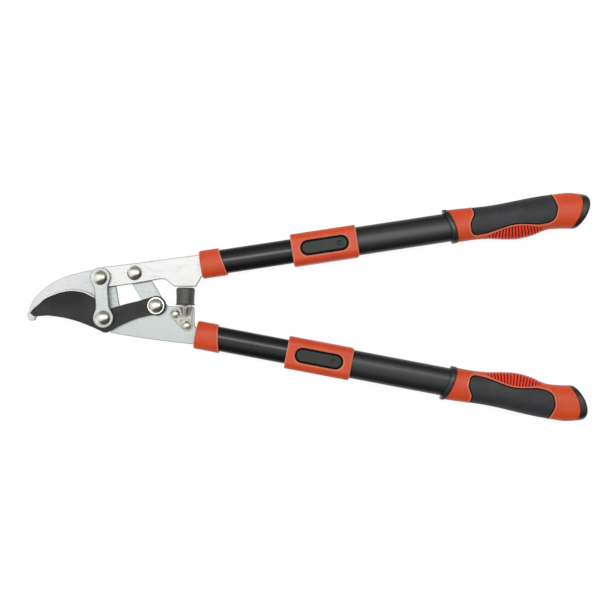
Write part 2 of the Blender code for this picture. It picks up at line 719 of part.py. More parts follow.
def make_bumper(frame):
    """The stamped bracket on the hook plate and the rubber buffer that it carries."""
    leg_low = hook_high + gap
    left, right = bracket_rivet_left, bracket_rivet_right
    tab_start, tab_end = bumper_x - bracket_half_width, bumper_x + bracket_half_width
    outline = arc(right, bracket_ear_radius, 0, -135) + arc(left, bracket_ear_radius, 225, 90)
    outline += [(tab_start, left[1] + bracket_ear_radius), (tab_start, bumper_seat_y),
                (tab_end, bumper_seat_y), (tab_end, right[1])]
    bracket = flat_plate("bumper_bracket", outline, leg_low, bracket_thickness, frame, ZINC)
    tab = box_tool("bracket_tab", (tab_start, bumper_seat_y - bracket_thickness, leg_low + gap),
                   (tab_end, bumper_seat_y, leg_low + bracket_reach), frame)
    apply_boolean(bracket, tab, "UNION")
    drill(bracket, "bracket_left_hole", rivet_radius + gap, frame, left, steps=small_steps)
    drill(bracket, "bracket_right_hole", rivet_radius + gap, frame, right, steps=small_steps)
    upright = (math.radians(-90.0), 0.0, 0.0)
    seat = (bumper_x, bumper_seat_y, bumper_forward)
    drill(bracket, "bracket_stud_hole", stud_radius + gap, frame, seat, -2 * bracket_thickness,
          bracket_thickness, upright)
    head_low = leg_low + bracket_thickness + gap
    back_high = hook_low - gap
    for name, at in (("bracket_rivet_left", left), ("bracket_rivet_right", right)):
        upset = rivet_radius + rivet_upset
        profile = domed_head(head_low, rivet_radius, rivet_head_radius, rivet_head_height, gap)
        profile += [(rivet_radius, back_high), (upset, back_high), (upset, back_high - rivet_upset_height / 2),
                    (rivet_radius, back_high - rivet_upset_height), (0.0, back_high - rivet_upset_height)]
        turned(name, profile, frame, NICKEL, (*at, 0.0), steps=small_steps)
    stud_bore = stud_radius + gap
    top = gap + bumper_height
    embedded = stud_length / 2
    shoulder = bumper_radius - rubber_shoulder
    waist = bumper_radius - rubber_waist
    rubber = [(0.0, top)] + arc((shoulder - rubber_rim, top - rubber_rim), rubber_rim, 90, 0)
    rubber += [(waist, top / 2), (waist, 2 * rubber_skirt), (bumper_radius, rubber_skirt),
               (bumper_radius - gap, gap), (stud_bore, gap), (stud_bore, embedded + gap),
               (0.0, embedded + gap)]
    turned("bumper_rubber", rubber, frame, SOFT_BLACK, seat, upright)
    stud_low = embedded - stud_length
    stud = [(0.0, embedded), (stud_radius, embedded), (stud_radius, stud_low + gap),
            (stud_radius - gap, stud_low), (0.0, stud_low)]
    turned("bumper_stud", stud, frame, NICKEL, seat, upright)
    nut_high = -bracket_thickness - gap
    nut_low = nut_high - bumper_nut_height
    flange_low = nut_high - bumper_nut_flange
    nut = [(stud_bore, nut_high), (bumper_nut_radius, nut_high), (bumper_nut_radius, flange_low),
           (bumper_nut_radius - bumper_nut_step, flange_low - gap),
           (bumper_nut_radius - 2 * bumper_nut_step, nut_low), (stud_bore, nut_low)]
    turned("bumper_nut", nut, frame, NICKEL, seat, upright, bored=True)


def make_ferrule(side, name, start, frame, plate_low, plate_thickness, inner_reach, shoulder_reach):
    """The moulded end of a handle: a skirt over the tube, and a plug that fills it round the tang."""
    def slanted(station, inset):
        ring = oval_ring(station, ferrule_width, ferrule_depth, inset)
        return [(along - ferrule_slant * across, across, up) for along, across, up in ring]
    rings = [oval_ring(start, ferrule_width, ferrule_depth, ferrule_nose),
             oval_ring(start + ferrule_nose, ferrule_width, ferrule_depth),
             slanted(start + ferrule_length - ferrule_rim, 0.0), slanted(start + ferrule_length, ferrule_rim)]
    ferrule = loft(name + "_ferrule", rings, frame, RED_PLASTIC, "strips")
    floor = start + ferrule_wall
    far = start + 2 * ferrule_length
    bore_width, bore_depth = inner_tube_width - 2 * tube_wall, inner_tube_depth - 2 * tube_wall
    sleeve = [oval_ring(floor, inner_tube_width, inner_tube_depth, -gap),
              oval_ring(far, inner_tube_width, inner_tube_depth, -gap),
              oval_ring(far, bore_width, bore_depth, gap),
              oval_ring(floor, bore_width, bore_depth, gap)]
    apply_boolean(ferrule, loft(name + "_skirt_tool", sleeve, frame, None, "closed"))
    low, high = plate_low - gap, plate_low + plate_thickness + gap
    near = start - ferrule_wall
    inner, outer = -inner_reach - gap, tang_half_width + gap
    edges = sorted((side * inner, side * outer))
    tool = box_tool(name + "_tang_slot", (near, edges[0], low), (far, edges[1], high), frame)
    apply_boolean(ferrule, tool)
    edges = sorted((side * (-shoulder_reach - gap), side * (tang_shoulder_outer + gap)))
    tool = box_tool(name + "_shoulder_slot", (near, edges[0], low), (floor + gap / 2, edges[1], high), frame)
    apply_boolean(ferrule, tool)
    station = start + tang_screw_station
    head_low = -ferrule_depth / 2 + gap
    head_high = head_low + tang_screw_head_height
    tip = inner_tube_depth / 2 - tube_wall - gap - plug_skin
    drill(ferrule, name + "_ferrule_screw_hole", tang_screw_radius + gap, frame, (station, 0.0), head_low,
          tip + gap, steps=small_steps)
    drill(ferrule, name + "_ferrule_counterbore", tang_screw_head + gap, frame, (station, 0.0),
          -ferrule_depth, head_high + gap)
    screw = [(0.0, tip), (tang_screw_radius, tip - gap), (tang_screw_radius, head_high),
             (tang_screw_head, head_high), (tang_screw_head, head_low), (0.0, head_low)]
    turned(name + "_tang_screw", screw, frame, ZINC, (station, 0.0, 0.0), steps=small_steps)


def make_inner_tube(name, ferrule_start, collar_start, tube_end, frame):
    """The tube fixed to the head, with a row of detent holes and a glide plug in its far end."""
    start = ferrule_start + ferrule_wall + gap
    end = collar_start + tube_end - inner_tube_short
    tube = oval_tube(name + "_inner_tube", start, end - start, inner_tube_width, inner_tube_depth,
                     frame, BLACK_TUBE)
    for count in range(detent_count):
        station = collar_start + lock_pin_station + count * detent_pitch
        drill(tube, name + "_detent_%d" % (count + 1), detent_radius, frame, (station, 0.0), 0.0,
              steps=small_steps)
    drill(tube, name + "_tube_screw_hole", tang_screw_radius + gap, frame,
          (ferrule_start + tang_screw_station, 0.0), high=0.0, steps=small_steps)
    bore = (inner_tube_width - 2 * tube_wall, inner_tube_depth - 2 * tube_wall, gap)
    flange = (outer_tube_width - 2 * tube_wall, outer_tube_depth - 2 * tube_wall, gap)
    rings = [oval_ring(end - glide_plug_length, bore[0], bore[1], gap + glide_lead),
             oval_ring(end - glide_plug_length + glide_lead, *bore),
             oval_ring(end + gap, *bore), oval_ring(end + gap, *flange),
             oval_ring(end + gap + glide_length, *flange)]
    loft(name + "_glide_plug", rings, frame, BLACK_PLASTIC, "strips")


def make_outer_tube(name, tube_end, frame):
    """The sliding tube, from the collar's lip to its seat in the grip."""
    tube = oval_tube(name + "_outer_tube", outer_tube_start, tube_end - outer_tube_start, outer_tube_width,
                     outer_tube_depth, frame, BLACK_TUBE)
    drill(tube, name + "_lock_hole", lock_pin_radius + lock_hole_play, frame, (lock_pin_station, 0.0), 0.0)
    drill(tube, name + "_tube_fixing_hole", collar_screw_radius + gap, frame, (collar_screw_station, 0.0),
          high=0.0, steps=small_steps)


def collar_section(inset):
    """The collar's section (across, up): flat underneath to lie on, with broad round shoulders above."""
    half = collar_width / 2 - inset
    low, high = -collar_drop + inset, collar_rise - inset
    return round_corners([(half, low, collar_foot_corner - inset), (half, high, collar_corner - inset),
                          (-half, high, collar_corner - inset), (-half, low, collar_foot_corner - inset)])


def make_lock_collar(side, name, frame):
    """The housing of the lock: it holds the outer tube, guides the inner one and frames the button."""
    rings = [[(station, across, up) for across, up in collar_section(inset)]
             for station, inset in ((0.0, collar_edge), (collar_edge, 0.0), (collar_length - collar_edge, 0.0),
                                    (collar_length, collar_edge))]
    collar = loft(name + "_lock_collar", rings, frame, RED_PLASTIC)
    far = 2 * collar_length
    bore = oval_tool(name + "_collar_bore", collar_lip, far, outer_tube_width + 2 * gap,
                     outer_tube_depth + 2 * gap, frame)
    apply_boolean(collar, bore)
    mouth = oval_tool(name + "_collar_mouth", -far, collar_lip + gap, inner_tube_width + 2 * gap,
                      inner_tube_depth + 2 * gap, frame)
    apply_boolean(collar, mouth)
    levels = ((outer_tube_depth / 2 - slot_undercut, 0.0), (collar_rise - slot_rim_depth, 0.0),
              (collar_rise + slot_rim_depth, 2 * slot_rim))
    rings = [[(slot_middle + x, y, level) for x, y in stadium(slot_length + 2 * flare, slot_width + 2 * flare)]
             for level, flare in levels]
    apply_boolean(collar, loft(name + "_button_slot", rings, frame, None))
    across = (math.radians(90.0), 0.0, 0.0)
    ends = sorted((side * -(rocker_pin_length / 2 + gap), side * collar_width))
    drill(collar, name + "_rocker_hole", rocker_pin_radius + gap, frame, (slot_middle, 0.0, button_pivot),
          *ends, across, small_steps)
    head_low = -collar_drop + gap
    head_high = head_low + collar_screw_head_height
    tip = -outer_tube_depth / 2 + tube_wall
    drill(collar, name + "_fixing_hole", collar_screw_radius + gap, frame, (collar_screw_station, 0.0),
          -2 * collar_drop, tip, steps=small_steps)
    drill(collar, name + "_fixing_recess", collar_screw_head + gap, frame, (collar_screw_station, 0.0),
          -2 * collar_drop, head_high + gap)
    screw = [(0.0, tip), (collar_screw_radius, tip), (collar_screw_radius, head_high),
             (collar_screw_head, head_high), (collar_screw_head, head_low), (0.0, head_low)]
    turned(name + "_collar_screw", screw, frame, ZINC, (collar_screw_station, 0.0, 0.0), steps=small_steps)


def make_rocker(name, slide_frame, button_frame):
    """The button on its cross pin, the lock pin under its head end and the leaf spring under the other."""
    length, width = slot_length - 2 * button_play, slot_width - 2 * button_play
    low, high = button_low - button_pivot, button_high - button_pivot
    levels = ((low, button_foot), (low + button_foot, 0.0), (high - button_shoulder, 0.0),
              (high - button_crown, button_shoulder_inset), (high, button_crown_inset))
    rings = [[(x, y, level) for x, y in stadium(length - 2 * inset, width - 2 * inset)]
             for level, inset in levels]
    button = loft(name + "_rocker_button", rings, button_frame, BLACK_PLASTIC)
    across = (math.radians(90.0), 0.0, 0.0)
    half_lug = button_lug_width / 2
    lug = round_tool(name + "_button_lug", button_lug_radius, -half_lug, half_lug, button_frame, tilt=across)
    apply_boolean(button, lug, "UNION")
    drill(button, name + "_button_pin_hole", rocker_pin_radius + gap, button_frame, (0.0, 0.0), -width, width,
          across, small_steps)
    neck_high = high - lock_pin_cover
    drill(button, name + "_lock_pin_socket", lock_pin_neck + gap, button_frame, (-lock_pin_offset, 0.0),
          low - button_thickness, neck_high + gap, steps=small_steps)
    work = bmesh.new()
    bmesh.ops.create_uvsphere(work, u_segments=16, v_segments=12, radius=dimple_radius)
    dimple = new_piece(name + "_button_dimple", work, button_frame, None)
    dimple.location = (dimple_offset, 0.0, high + dimple_radius - dimple_depth)
    apply_boolean(button, dimple)
    tip = inner_tube_depth / 2 + gap - button_pivot
    shoulder = low - gap
    pin = [(0.0, neck_high), (lock_pin_neck, neck_high), (lock_pin_neck, shoulder), (lock_pin_radius, shoulder),
           (lock_pin_radius, tip + lock_pin_lead), (lock_pin_radius - lock_pin_lead, tip), (0.0, tip)]
    turned(name + "_lock_pin", pin, button_frame, NICKEL, (-lock_pin_offset, 0.0, 0.0), steps=small_steps)
    work = bmesh.new()
    bmesh.ops.create_cone(work, cap_ends=True, segments=small_steps, radius1=rocker_pin_radius,
                          radius2=rocker_pin_radius, depth=rocker_pin_length)
    pin = new_piece(name + "_rocker_pin", work, slide_frame, ZINC)
    pin.location = (slot_middle, 0.0, button_pivot)
    pin.rotation_euler = across
    make_leaf_spring(name, slide_frame)


def make_leaf_spring(name, frame):
    """A bowed strip between the outer tube and the button's grip end."""
    foot = outer_tube_depth / 2 + gap + spring_strip / 2
    crown = button_low - gap - spring_strip / 2
    work = bmesh.new()
    rows = []
    for step in range(spring_steps + 1):
        share = 2 * step / spring_steps - 1
        x = slot_middle + spring_offset + share * spring_length / 2
        z = foot + (crown - foot) * (1 - share * share)
        rows.append([work.verts.new((x, y, z)) for y in (-spring_width / 2, spring_width / 2)])
    for first, second in zip(rows, rows[1:]):
        work.faces.new((first[0], first[1], second[1], second[0]))
    spring = new_piece(name + "_button_spring", work, frame, SPRING_STEEL)
    strip = spring.modifiers.new("strip", "SOLIDIFY")
    strip.thickness = spring_strip
    strip.offset = 0.0


def grip_reaches(station):
    """Reach outwards, reach inwards and half depth of the grip at a station, from the tube's and the rows."""
    rows = grip_stations
    station = station / MM
    index = 0
    while index < len(rows) - 2 and station > rows[index + 1][0]:
        index += 1
    first, second = rows[index], rows[index + 1]
    before = rows[max(index - 1, 0)]
    after = rows[min(index + 2, len(rows) - 1)]
    span = second[0] - first[0]
    t = (station - first[0]) / span
    values = []
    for column, tube_size in enumerate((outer_tube_width, outer_tube_width, outer_tube_depth), 1):
        a, b = first[column], second[column]
        slope_a = (b - before[column]) / (second[0] - before[0]) * span
        slope_b = (after[column] - a) / (after[0] - first[0]) * span
        skin = ((2 * t ** 3 - 3 * t ** 2 + 1) * a + (t ** 3 - 2 * t ** 2 + t) * slope_a
                + (3 * t ** 2 - 2 * t ** 3) * b + (t ** 3 - t ** 2) * slope_b)
        values.append(tube_size / 2 + skin * MM)
    return values


def ring_bend(across):
    return ring_bow * max(0.0, 1.0 - (across / ring_bow_width) ** 2)


def front_of_ring(across):
    return ring_front - ring_front_slant * across + ring_bend(across)


def back_of_ring(across):
    return ring_back - ring_back_slant * across + ring_bend(across)


def seam_of_cap(across):
    return cap_seam - cap_seam_curve * (cap_seam_top - across) ** 2


def end_of_cap(across):
    return cap_end - cap_end_curve * (cap_end_top - across) ** 2


def grip_ring(side, offset, surface, inset=0.0, groove=0.0):
    """One ring of the grip, each point placed where the grip's skin meets the surface given."""
    ring = []
    for step in range(grip_sides):
        angle = math.tau * step / grip_sides
        cosine, sine = fuller(math.cos(angle), grip_roundness), fuller(math.sin(angle), grip_roundness)
        across = 0.0
        for _ in range(skin_passes):
            station = surface(across)
            outwards, inwards, depth = grip_reaches(station)
            sunk = inset + groove * rib_field(station, across)
            across = ((outwards if cosine > 0 else inwards) - sunk) * cosine
        ring.append((offset + surface(across), side * across, (depth - sunk) * sine))
    return ring


def rib_field(station, across):
    """1 in the ribbed field of the finger swell, 0 outside it and a share of 1 at its curved border."""
    away = (station - rib_middle) / (rib_count * rib_pitch / 2)
    border = rib_field_top + rib_field_fall * away ** 2
    return max(0.0, min(1.0, (-across - border) / rib_field_fade))


def rib_share(station):
    """The share of the way along the grip at which a ring crosses a station on the finger side."""
    start, end = back_of_ring(rib_side), seam_of_cap(rib_side)
    return (station - start) / (end - start)


def core_rings():
    """(share of the way, groove depth) of the core's rings: plain ends, with crests and troughs between."""
    first = rib_middle - rib_count * rib_pitch / 2
    ribs = [(rib_share(first + step * rib_pitch / 2), rib_depth * (step % 2))
            for step in range(2 * rib_count + 1)]
    before, after = ribs[0][0], ribs[-1][0]
    front = [(before * step / core_end_rings, 0.0) for step in range(core_end_rings)]
    back = [(after + (1.0 - after) * (step + 1) / core_end_rings, 0.0) for step in range(core_end_rings)]
    return front + ribs + back


def between(start, end, share):
    return lambda across: start(across) * (1 - share) + end(across) * share


def shifted(surface, amount):
    return lambda across: surface(across) + amount


def grip_body(name, side, offset, stations, frame, look):
    """The whole grip between its front ring and its cap, through rings at (share of the way, groove depth)."""
    start = shifted(back_of_ring, gap)
    rings = [grip_ring(side, offset, between(start, seam_of_cap, share), 0.0, groove)
             for share, groove in stations]
    return loft(name, rings, frame, look, "strips")


def grown(outline, margin):
    """A closed clockwise or anticlockwise outline moved outwards by a margin."""
    area = sum(a[0] * b[1] - b[0] * a[1] for a, b in zip(outline, outline[1:] + outline[:1]))
    outwards = math.copysign(margin, area)
    moved_out = []
    for index, (x, y) in enumerate(outline):
        before, after = outline[index - 1], outline[(index + 1) % len(outline)]
        along = (after[0] - before[0], after[1] - before[1])
        length = math.hypot(*along)
        moved_out.append((x + along[1] / length * outwards, y - along[0] / length * outwards))
    return moved_out


def pad_tool(name, side, offset, margin, frame):
    """The pad's outline through the whole depth of the grip: it wraps the outer side, front and back."""
    outline = round_corners([(offset + x * MM, side * y * MM, r * MM) for x, y, r in pad_corners])
    return flat_plate(name, grown(outline, margin), -grip_reach, 2 * grip_reach, frame, None)


def make_grip(side, name, offset, frame):
    """Front ring, ribbed core, soft pad and end cap. The ring, core and pad seat on the outer tube."""
    bore = make_grip_bore(name, offset, frame)
    front, back = shifted(front_of_ring, gap), shifted(back_of_ring, -gap)
    rings = [grip_ring(side, offset, front_of_ring, gap), grip_ring(side, offset, front, -ring_proud),
             grip_ring(side, offset, back, -ring_proud), grip_ring(side, offset, back_of_ring, gap)]
    band = loft(name + "_grip_ring", rings, frame, BLACK_PLASTIC, "strips")
    apply_boolean(band, bore)

    core = grip_body(name + "_grip_core", side, offset, core_rings(), frame, RED_PLASTIC)
    apply_boolean(core, bore)
    apply_boolean(core, pad_tool(name + "_pad_window", side, offset, gap, frame))
    plain = [(step / (grip_rings - 1), 0.0) for step in range(grip_rings)]
    pad = grip_body(name + "_grip_pad", side, offset, plain, frame, SOFT_BLACK)
    apply_boolean(pad, pad_tool(name + "_pad_outline", side, offset, 0.0, frame), "INTERSECT")
    apply_boolean(pad, bore)
    make_end_cap(side, name, offset, frame)


def make_grip_bore(name, offset, frame):
    """The stepped bore of a grip: wide for the tube, then narrow for the cap's spigot."""
    tube_end = offset + tube_in_grip + gap
    wide = (outer_tube_width, outer_tube_depth, -gap)
    narrow = (spigot_width, spigot_depth, -gap)
    rings = [oval_ring(offset - grip_reach, *wide), oval_ring(tube_end, *wide), oval_ring(tube_end, *narrow),
             oval_ring(offset + cap_end + grip_reach, *narrow)]
    return loft(name + "_grip_bore", rings, frame, None)


def make_end_cap(side, name, offset, frame):
    """The cap that closes the grip, with a spigot in the core's bore."""
    start = shifted(seam_of_cap, gap)
    last = shifted(end_of_cap, -cap_rounding)
    rings = [grip_ring(side, offset, start), grip_ring(side, offset, between(start, last, 0.5)),
             grip_ring(side, offset, last)]
    for angle in (30.0, 60.0, 90.0):
        lift, inset = math.sin(math.radians(angle)), 1.0 - math.cos(math.radians(angle))
        rings.append(grip_ring(side, offset, shifted(last, cap_rounding * lift), cap_rounding * inset))
    cap = loft(name + "_end_cap", rings, frame, BLACK_PLASTIC, "strips")
    rooted = offset + cap_seam + gap
    spigot = oval_tool(name + "_cap_spigot", rooted - spigot_length, rooted, spigot_width, spigot_depth, frame)
    apply_boolean(cap, spigot, "UNION")


def make_handle(side, name, ferrule_start, collar_start, grip_start, frame, plate):
    """Everything on one handle: the fixed tube, and the sliding tube with its lock and grip."""
    make_ferrule(side, name, ferrule_start, frame, *plate)
    offset = grip_start - collar_start
    tube_end = offset + tube_in_grip
    make_inner_tube(name, ferrule_start, collar_start, tube_end, frame)
    slide = new_frame(name + "_slide_axis", (collar_start, 0.0, 0.0), frame)
    make_outer_tube(name, tube_end, slide)
    make_lock_collar(side, name, slide)
    button = new_frame(name + "_button_axis", (slot_middle, 0.0, button_pivot), slide)
    make_rocker(name, slide, button)
    make_grip(side, name, offset, slide)


def make_lopper():
    main = new_frame("lever_axis", (main_pivot_x, main_pivot_y, axis_height))
    head = new_frame("head", (main_pivot_x, main_pivot_y, axis_height))
    blade = new_frame("blade_axis", (*blade_pivot, 0.0), head)
    link = new_frame("link_axis", (*link_upper, 0.0), main)
    crossing = (handle_crossing_x - main_pivot_x, -main_pivot_y, 0.0)
    upper = new_frame("upper_handle_axis", crossing, main, handle_half_angle)
    lower = new_frame("lower_handle_axis", crossing, head, -handle_half_angle)

    make_hook_plate(head)
    make_lever_plate(main)
    make_cutting_blade(blade)
    make_drive_link(link)
    make_pivot_bolt("main_pivot", head, (0.0, 0.0), middle_low + lever_thickness, False)
    make_pivot_bolt("blade_pivot", head, blade_pivot, middle_low + blade_thickness, True)
    make_link_screw("link_upper_screw", main, link_upper)
    make_link_screw("link_lower_screw", blade, moved([link_lower], blade_pivot)[0])
    make_bumper(head)

    lever_tang = (middle_low, lever_thickness, tang_half_width, lever_shoulder_inner)
    hook_tang = (hook_low, hook_thickness, hook_tang_inner, hook_tang_inner)
    make_handle(1, "upper", upper_ferrule_start, upper_collar_start, upper_grip_start, upper, lever_tang)
    make_handle(-1, "lower", lower_ferrule_start, lower_collar_start, lower_grip_start, lower, hook_tang)


for leftover in list(bpy.data.objects):
    bpy.data.objects.remove(leftover, do_unlink=True)
lopper = new_collection("telescopic_lopper")
cutters = new_collection("cutters")
make_lopper()
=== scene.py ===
"""Looks of the telescopic lopper: fine surfaces, finishes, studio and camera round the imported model."""

import json
import math

import bmesh
import bpy
import numpy as np
from mathutils import Matrix, Vector


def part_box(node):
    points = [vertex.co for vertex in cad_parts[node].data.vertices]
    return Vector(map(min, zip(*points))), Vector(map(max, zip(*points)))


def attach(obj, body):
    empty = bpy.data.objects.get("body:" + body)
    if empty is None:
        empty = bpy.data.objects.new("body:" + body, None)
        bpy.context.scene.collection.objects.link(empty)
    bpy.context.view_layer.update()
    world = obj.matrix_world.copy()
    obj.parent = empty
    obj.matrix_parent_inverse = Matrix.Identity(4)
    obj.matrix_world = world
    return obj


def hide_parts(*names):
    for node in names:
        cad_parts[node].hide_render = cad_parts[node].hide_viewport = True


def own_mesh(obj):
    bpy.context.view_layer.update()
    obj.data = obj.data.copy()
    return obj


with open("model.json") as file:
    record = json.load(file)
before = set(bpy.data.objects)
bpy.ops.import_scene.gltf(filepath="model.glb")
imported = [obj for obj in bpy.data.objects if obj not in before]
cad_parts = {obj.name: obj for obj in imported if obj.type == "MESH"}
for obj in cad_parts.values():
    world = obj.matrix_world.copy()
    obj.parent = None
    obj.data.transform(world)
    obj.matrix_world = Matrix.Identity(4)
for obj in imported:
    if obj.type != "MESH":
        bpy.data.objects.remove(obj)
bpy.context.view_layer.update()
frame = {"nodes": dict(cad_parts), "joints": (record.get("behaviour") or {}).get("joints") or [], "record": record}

MM = 0.001
JOINTS = {joint["name"]: joint for joint in frame["joints"]}
BODY_OF = {node: body for body, nodes in frame["record"]["behaviour"]["bodies"].items() for node in nodes}
AXIS_HEIGHT = JOINTS["lever_pivot"]["pos_m"][2]
GAP = 0.3 * MM
WELD = 0.01 * MM
TOOL_PROUD = 1.0 * MM
TOOL_SIDES, BALL_ROWS = 40, 28

# Camera: the image's width on the plane of the tubes' axes, seen from straight above
VIEW_WIDTH = 739.2 * MM
VIEW_DISTANCE = 1033.0 * MM
VIEW_CENTRE = (0.4 * MM, -7.1 * MM)
VIEW_TURN = math.radians(1.06)
SENSOR = 36.0
VIEW_END = 20.0

# World: its level from the horizon upwards, and the directions towards which it is darker, each with the part
# of the sky over which it darkens and how much light is left there
SKY_LOW, SKY_HIGH, SKY_TOP = 0.60, 1.08, 0.95
DARK_SIDES = (((0.35, -0.94, 0.0), 0.15, 0.55, 0.08), ((0.0, 1.0, 0.0), 0.30, 0.70, 0.30),
              ((1.0, 0.0, 0.0), 0.60, 0.90, 0.20))
LAMP_PLACE, LAMP_SIZE, LAMP_POWER = (0.0, 0.22, 1.35), (1.9, 0.22), 7.5

# Floor: how much of it is glow to the camera and to gloss, the rest being matt and taking the shadow
FLOOR_SIZE = 4.0
FLOOR_DROP = 0.2 * MM
FLOOR_GLOW_SHARE, FLOOR_GLOW = 0.86, 1.06
FLOOR_COLOUR = (0.96, 0.96, 0.96)

# Edges and crevices: the width of edges tinted by wear and painted light, the turn at which they start, and how near
# walls cast painted shade
EDGE_WEAR_AND_LIGHT = 0.9 * MM
EDGE_TURN = (0.995, 0.88)
CREVICE = 1.6 * MM

# Outlines finer than the solids': their steps, the turns in radians and the lengths that tell a curve from a
# corner or a straight, the least share of an inset at a sharp corner, and a length that counts as none
FINE_STEP = 0.7 * MM
STRAIGHT = 7.5 * MM
CORNER = math.radians(35.0)
BENT = 0.01
IN_LINE = 0.012
BLUNTEST = 0.35
RIM_STEPS = 4
STADIUM_STEPS = 20
TURNED_STEP = 0.4 * MM
TURNED_SIDES = 56
TINY = 1e-7
RING_DIGITS = 5

# Shading: the angles in degrees from which an edge is sharp, and the upright part of a level face's normal
SHARP, CRISP, GRIP_SHARP, CAP_SHARP = 32.0, 20.0, 60.0, 40.0
LEVEL_ENOUGH = 0.9999
EASED_FROM = math.radians(40.0)

# Handle, in the frame that starts at the collar and runs to the grip
TUBE_WALL = 1.4 * MM
TUBE_LIP = 0.3 * MM
TUBE_SIDES = 72
TUBE_ROUNDNESS = 2.4
INNER_ROUNDNESS = 2.1
DETENT_FIRST = 17.1 * MM
DETENT_PITCH = 60.0 * MM
DETENT_COUNT = 5
DETENT_RADIUS = 4.0 * MM
FERRULE_NOSE = 1.6 * MM
FERRULE_LIP = 0.9 * MM
FERRULE_SLANT = 0.2
FERRULE_BORE = 3.0 * MM
NOSE_BACK = {"upper": 1.2 * MM, "lower": 0.3 * MM}
# The ferrule's band before its lip that is painted pale: a painted highlight
HIGHLIGHT_LIP = 0.7 * MM
TANG_OF = {"upper": "lever_plate", "lower": "hook_plate"}
TANG_SLOT = (-5.0 * MM, 6.0 * MM)
SCREW_HEAD = 1.8 * MM

# Lock: the collar with its slot, the button with its dimple and lug, and the leaf spring under it
COLLAR_EDGE = 1.4 * MM
COLLAR_CORNERS = (9.0 * MM, 6.0 * MM)
COLLAR_WALL = 3.0 * MM
SLOT_MIDDLE = 39.1 * MM
SLOT_LENGTH = 57.6 * MM
SLOT_WIDTH = 18.0 * MM
SLOT_DEPTH = 9.0 * MM
SLOT_RIM = 1.9 * MM
BUTTON_THICKNESS = 3.8 * MM
BUTTON_FOOT = 0.5 * MM
BUTTON_RIM, BUTTON_CROWN = 2.4 * MM, 1.6 * MM
DIMPLE_PLACE, DIMPLE_RADIUS, DIMPLE_DEPTH = 17.5 * MM, 6.0 * MM, 0.9 * MM
LUG_RADIUS, LUG_HALF, LUG_DROP = 3.4 * MM, 6.0 * MM, 4.0 * MM
LEAF_STRIP = 0.5 * MM
LEAF_CORNER = 0.2 * MM
LEAF_STEPS = 24
LEAF_TIP, LEAF_TIP_NARROWER = 0.25, 0.8 * MM

# Blade: the slender tip is drawn out past the solid's
BLADE_SECTION = 0.3 * MM
BLADE_TIP_RUN = 12.0 * MM
BLADE_TIP_DRAWN = (-1.5 * MM, -0.3 * MM)
BLADE_SHOULDER = (-0.2534, -0.0006)
BLADE_RIM = 0.25 * MM
# The middle and reach of a painted dark reflection on the blade's face
BLADE_DARK_REFLECTION = (-0.290, 0.004)
BLADE_DARK_REFLECTION_REACH = (0.040, 0.019)
BEVEL_WIDTH = 2.4 * MM
BEVEL_ENDS = (3.0 * MM, 16.0 * MM)
BEVEL_STEPS = 5
BARE_FROM = 0.05 * MM
EDGE_LAND = 0.7 * MM
EDGE_BREAK = 0.1 * MM

# Grip: stations along it with the reach outwards, the reach inwards and the half depth
GRIP_STATIONS = np.array((
    (0.0, 21.0, 19.4, 13.6),
    (20.0, 20.2, 19.2, 13.6),
    (40.0, 19.0, 19.8, 13.8),
    (53.0, 18.6, 21.8, 14.1),
    (68.0, 18.8, 24.7, 14.6),
    (85.0, 19.6, 26.4, 14.8),
    (102.0, 20.4, 24.6, 14.6),
    (119.0, 20.8, 20.5, 14.1),
    (133.0, 20.4, 21.2, 14.0),
    (149.0, 19.7, 23.6, 14.2),
    (161.0, 17.0, 25.6, 13.8),
    (177.0, 11.8, 28.0, 12.6),
)) * MM
GRIP_SAMPLES = 400
GRIP_ROUNDS = 10
GRIP_START = {"upper": 186.6 * MM, "lower": 192.2 * MM}
GRIP_ROUNDNESS = 2.3
GRIP_STEP = 1.3 * MM
GRIP_SIDES, GRIP_QUICK_SIDES, GRIP_END_SIDES = 104, 64, 96
SKIN = 2.2 * MM

# Pad: its outline's corners in millimetres with their radii, and the seam round it. The seam's levels are
# distances into the pad in millimetres, at which the skin gets edges
PAD_CORNERS = (
    (31.5, 40.0, 1.0), (33.8, 10.2, 7.0), (27.2, -0.2, 8.0), (27.5, -15.4, 11.0), (46.6, -14.6, 30.0),
    (80.0, -8.2, 60.0), (108.6, -13.8, 20.0), (127.2, -13.2, 16.0), (133.0, 3.3, 12.0), (125.0, 40.0, 1.0),
)
CORNER_SHARE = 0.48
CORNER_STEP = math.radians(6.0)
PAD_SHOULDER = 2.0 * MM
PAD_GROOVE = 1.15 * MM
PAD_SUNK = 0.15 * MM
# Pad faces this far into the pad from its outline are painted black: painted shade in the seam
PAD_SEAM_SHADE = 1.25 * MM
CORE_LIP = 2.6 * MM
CORE_LIP_RISE = 0.5 * MM
CORE_LIP_SHAPE = (0.7, 1.2)
# Core faces this far from the pad's outline are painted pale: a painted highlight on the lip
CORE_LIP_HIGHLIGHT = (0.35 * MM, 1.95 * MM)
GROOVE_WALL = 0.5 * MM
SEAM_LEVELS = (0.0, 0.2, 0.5, 0.9, 1.4, 2.0, -0.15, -0.4, -0.8, -1.3, -1.9, -2.6)
ON_SEAM = 1e-9

# Ribs, fanned over the swell: their field's border falls off to both ends
RIB_MIDDLE = 79.4 * MM
RIB_PITCH = 3.8 * MM
RIB_COUNT = 17
RIB_STEPS = 8
RIB_DEPTH = 1.8 * MM
RIB_SHARPNESS = 2.6
RIB_SIDE = 18.0 * MM
RIB_FAN, RIB_FAN_REACH = 0.10, 10.0 * MM
RIB_TOP = 10.4 * MM
RIB_FALL = 7.5 * MM
RIB_FADE = 1.6 * MM
RIB_MARGIN = 1.5
# Core faces this far into the ribs' field take a copy of the red: painted light and shade
RIB_PAINTED_LIGHT_FROM = 0.2

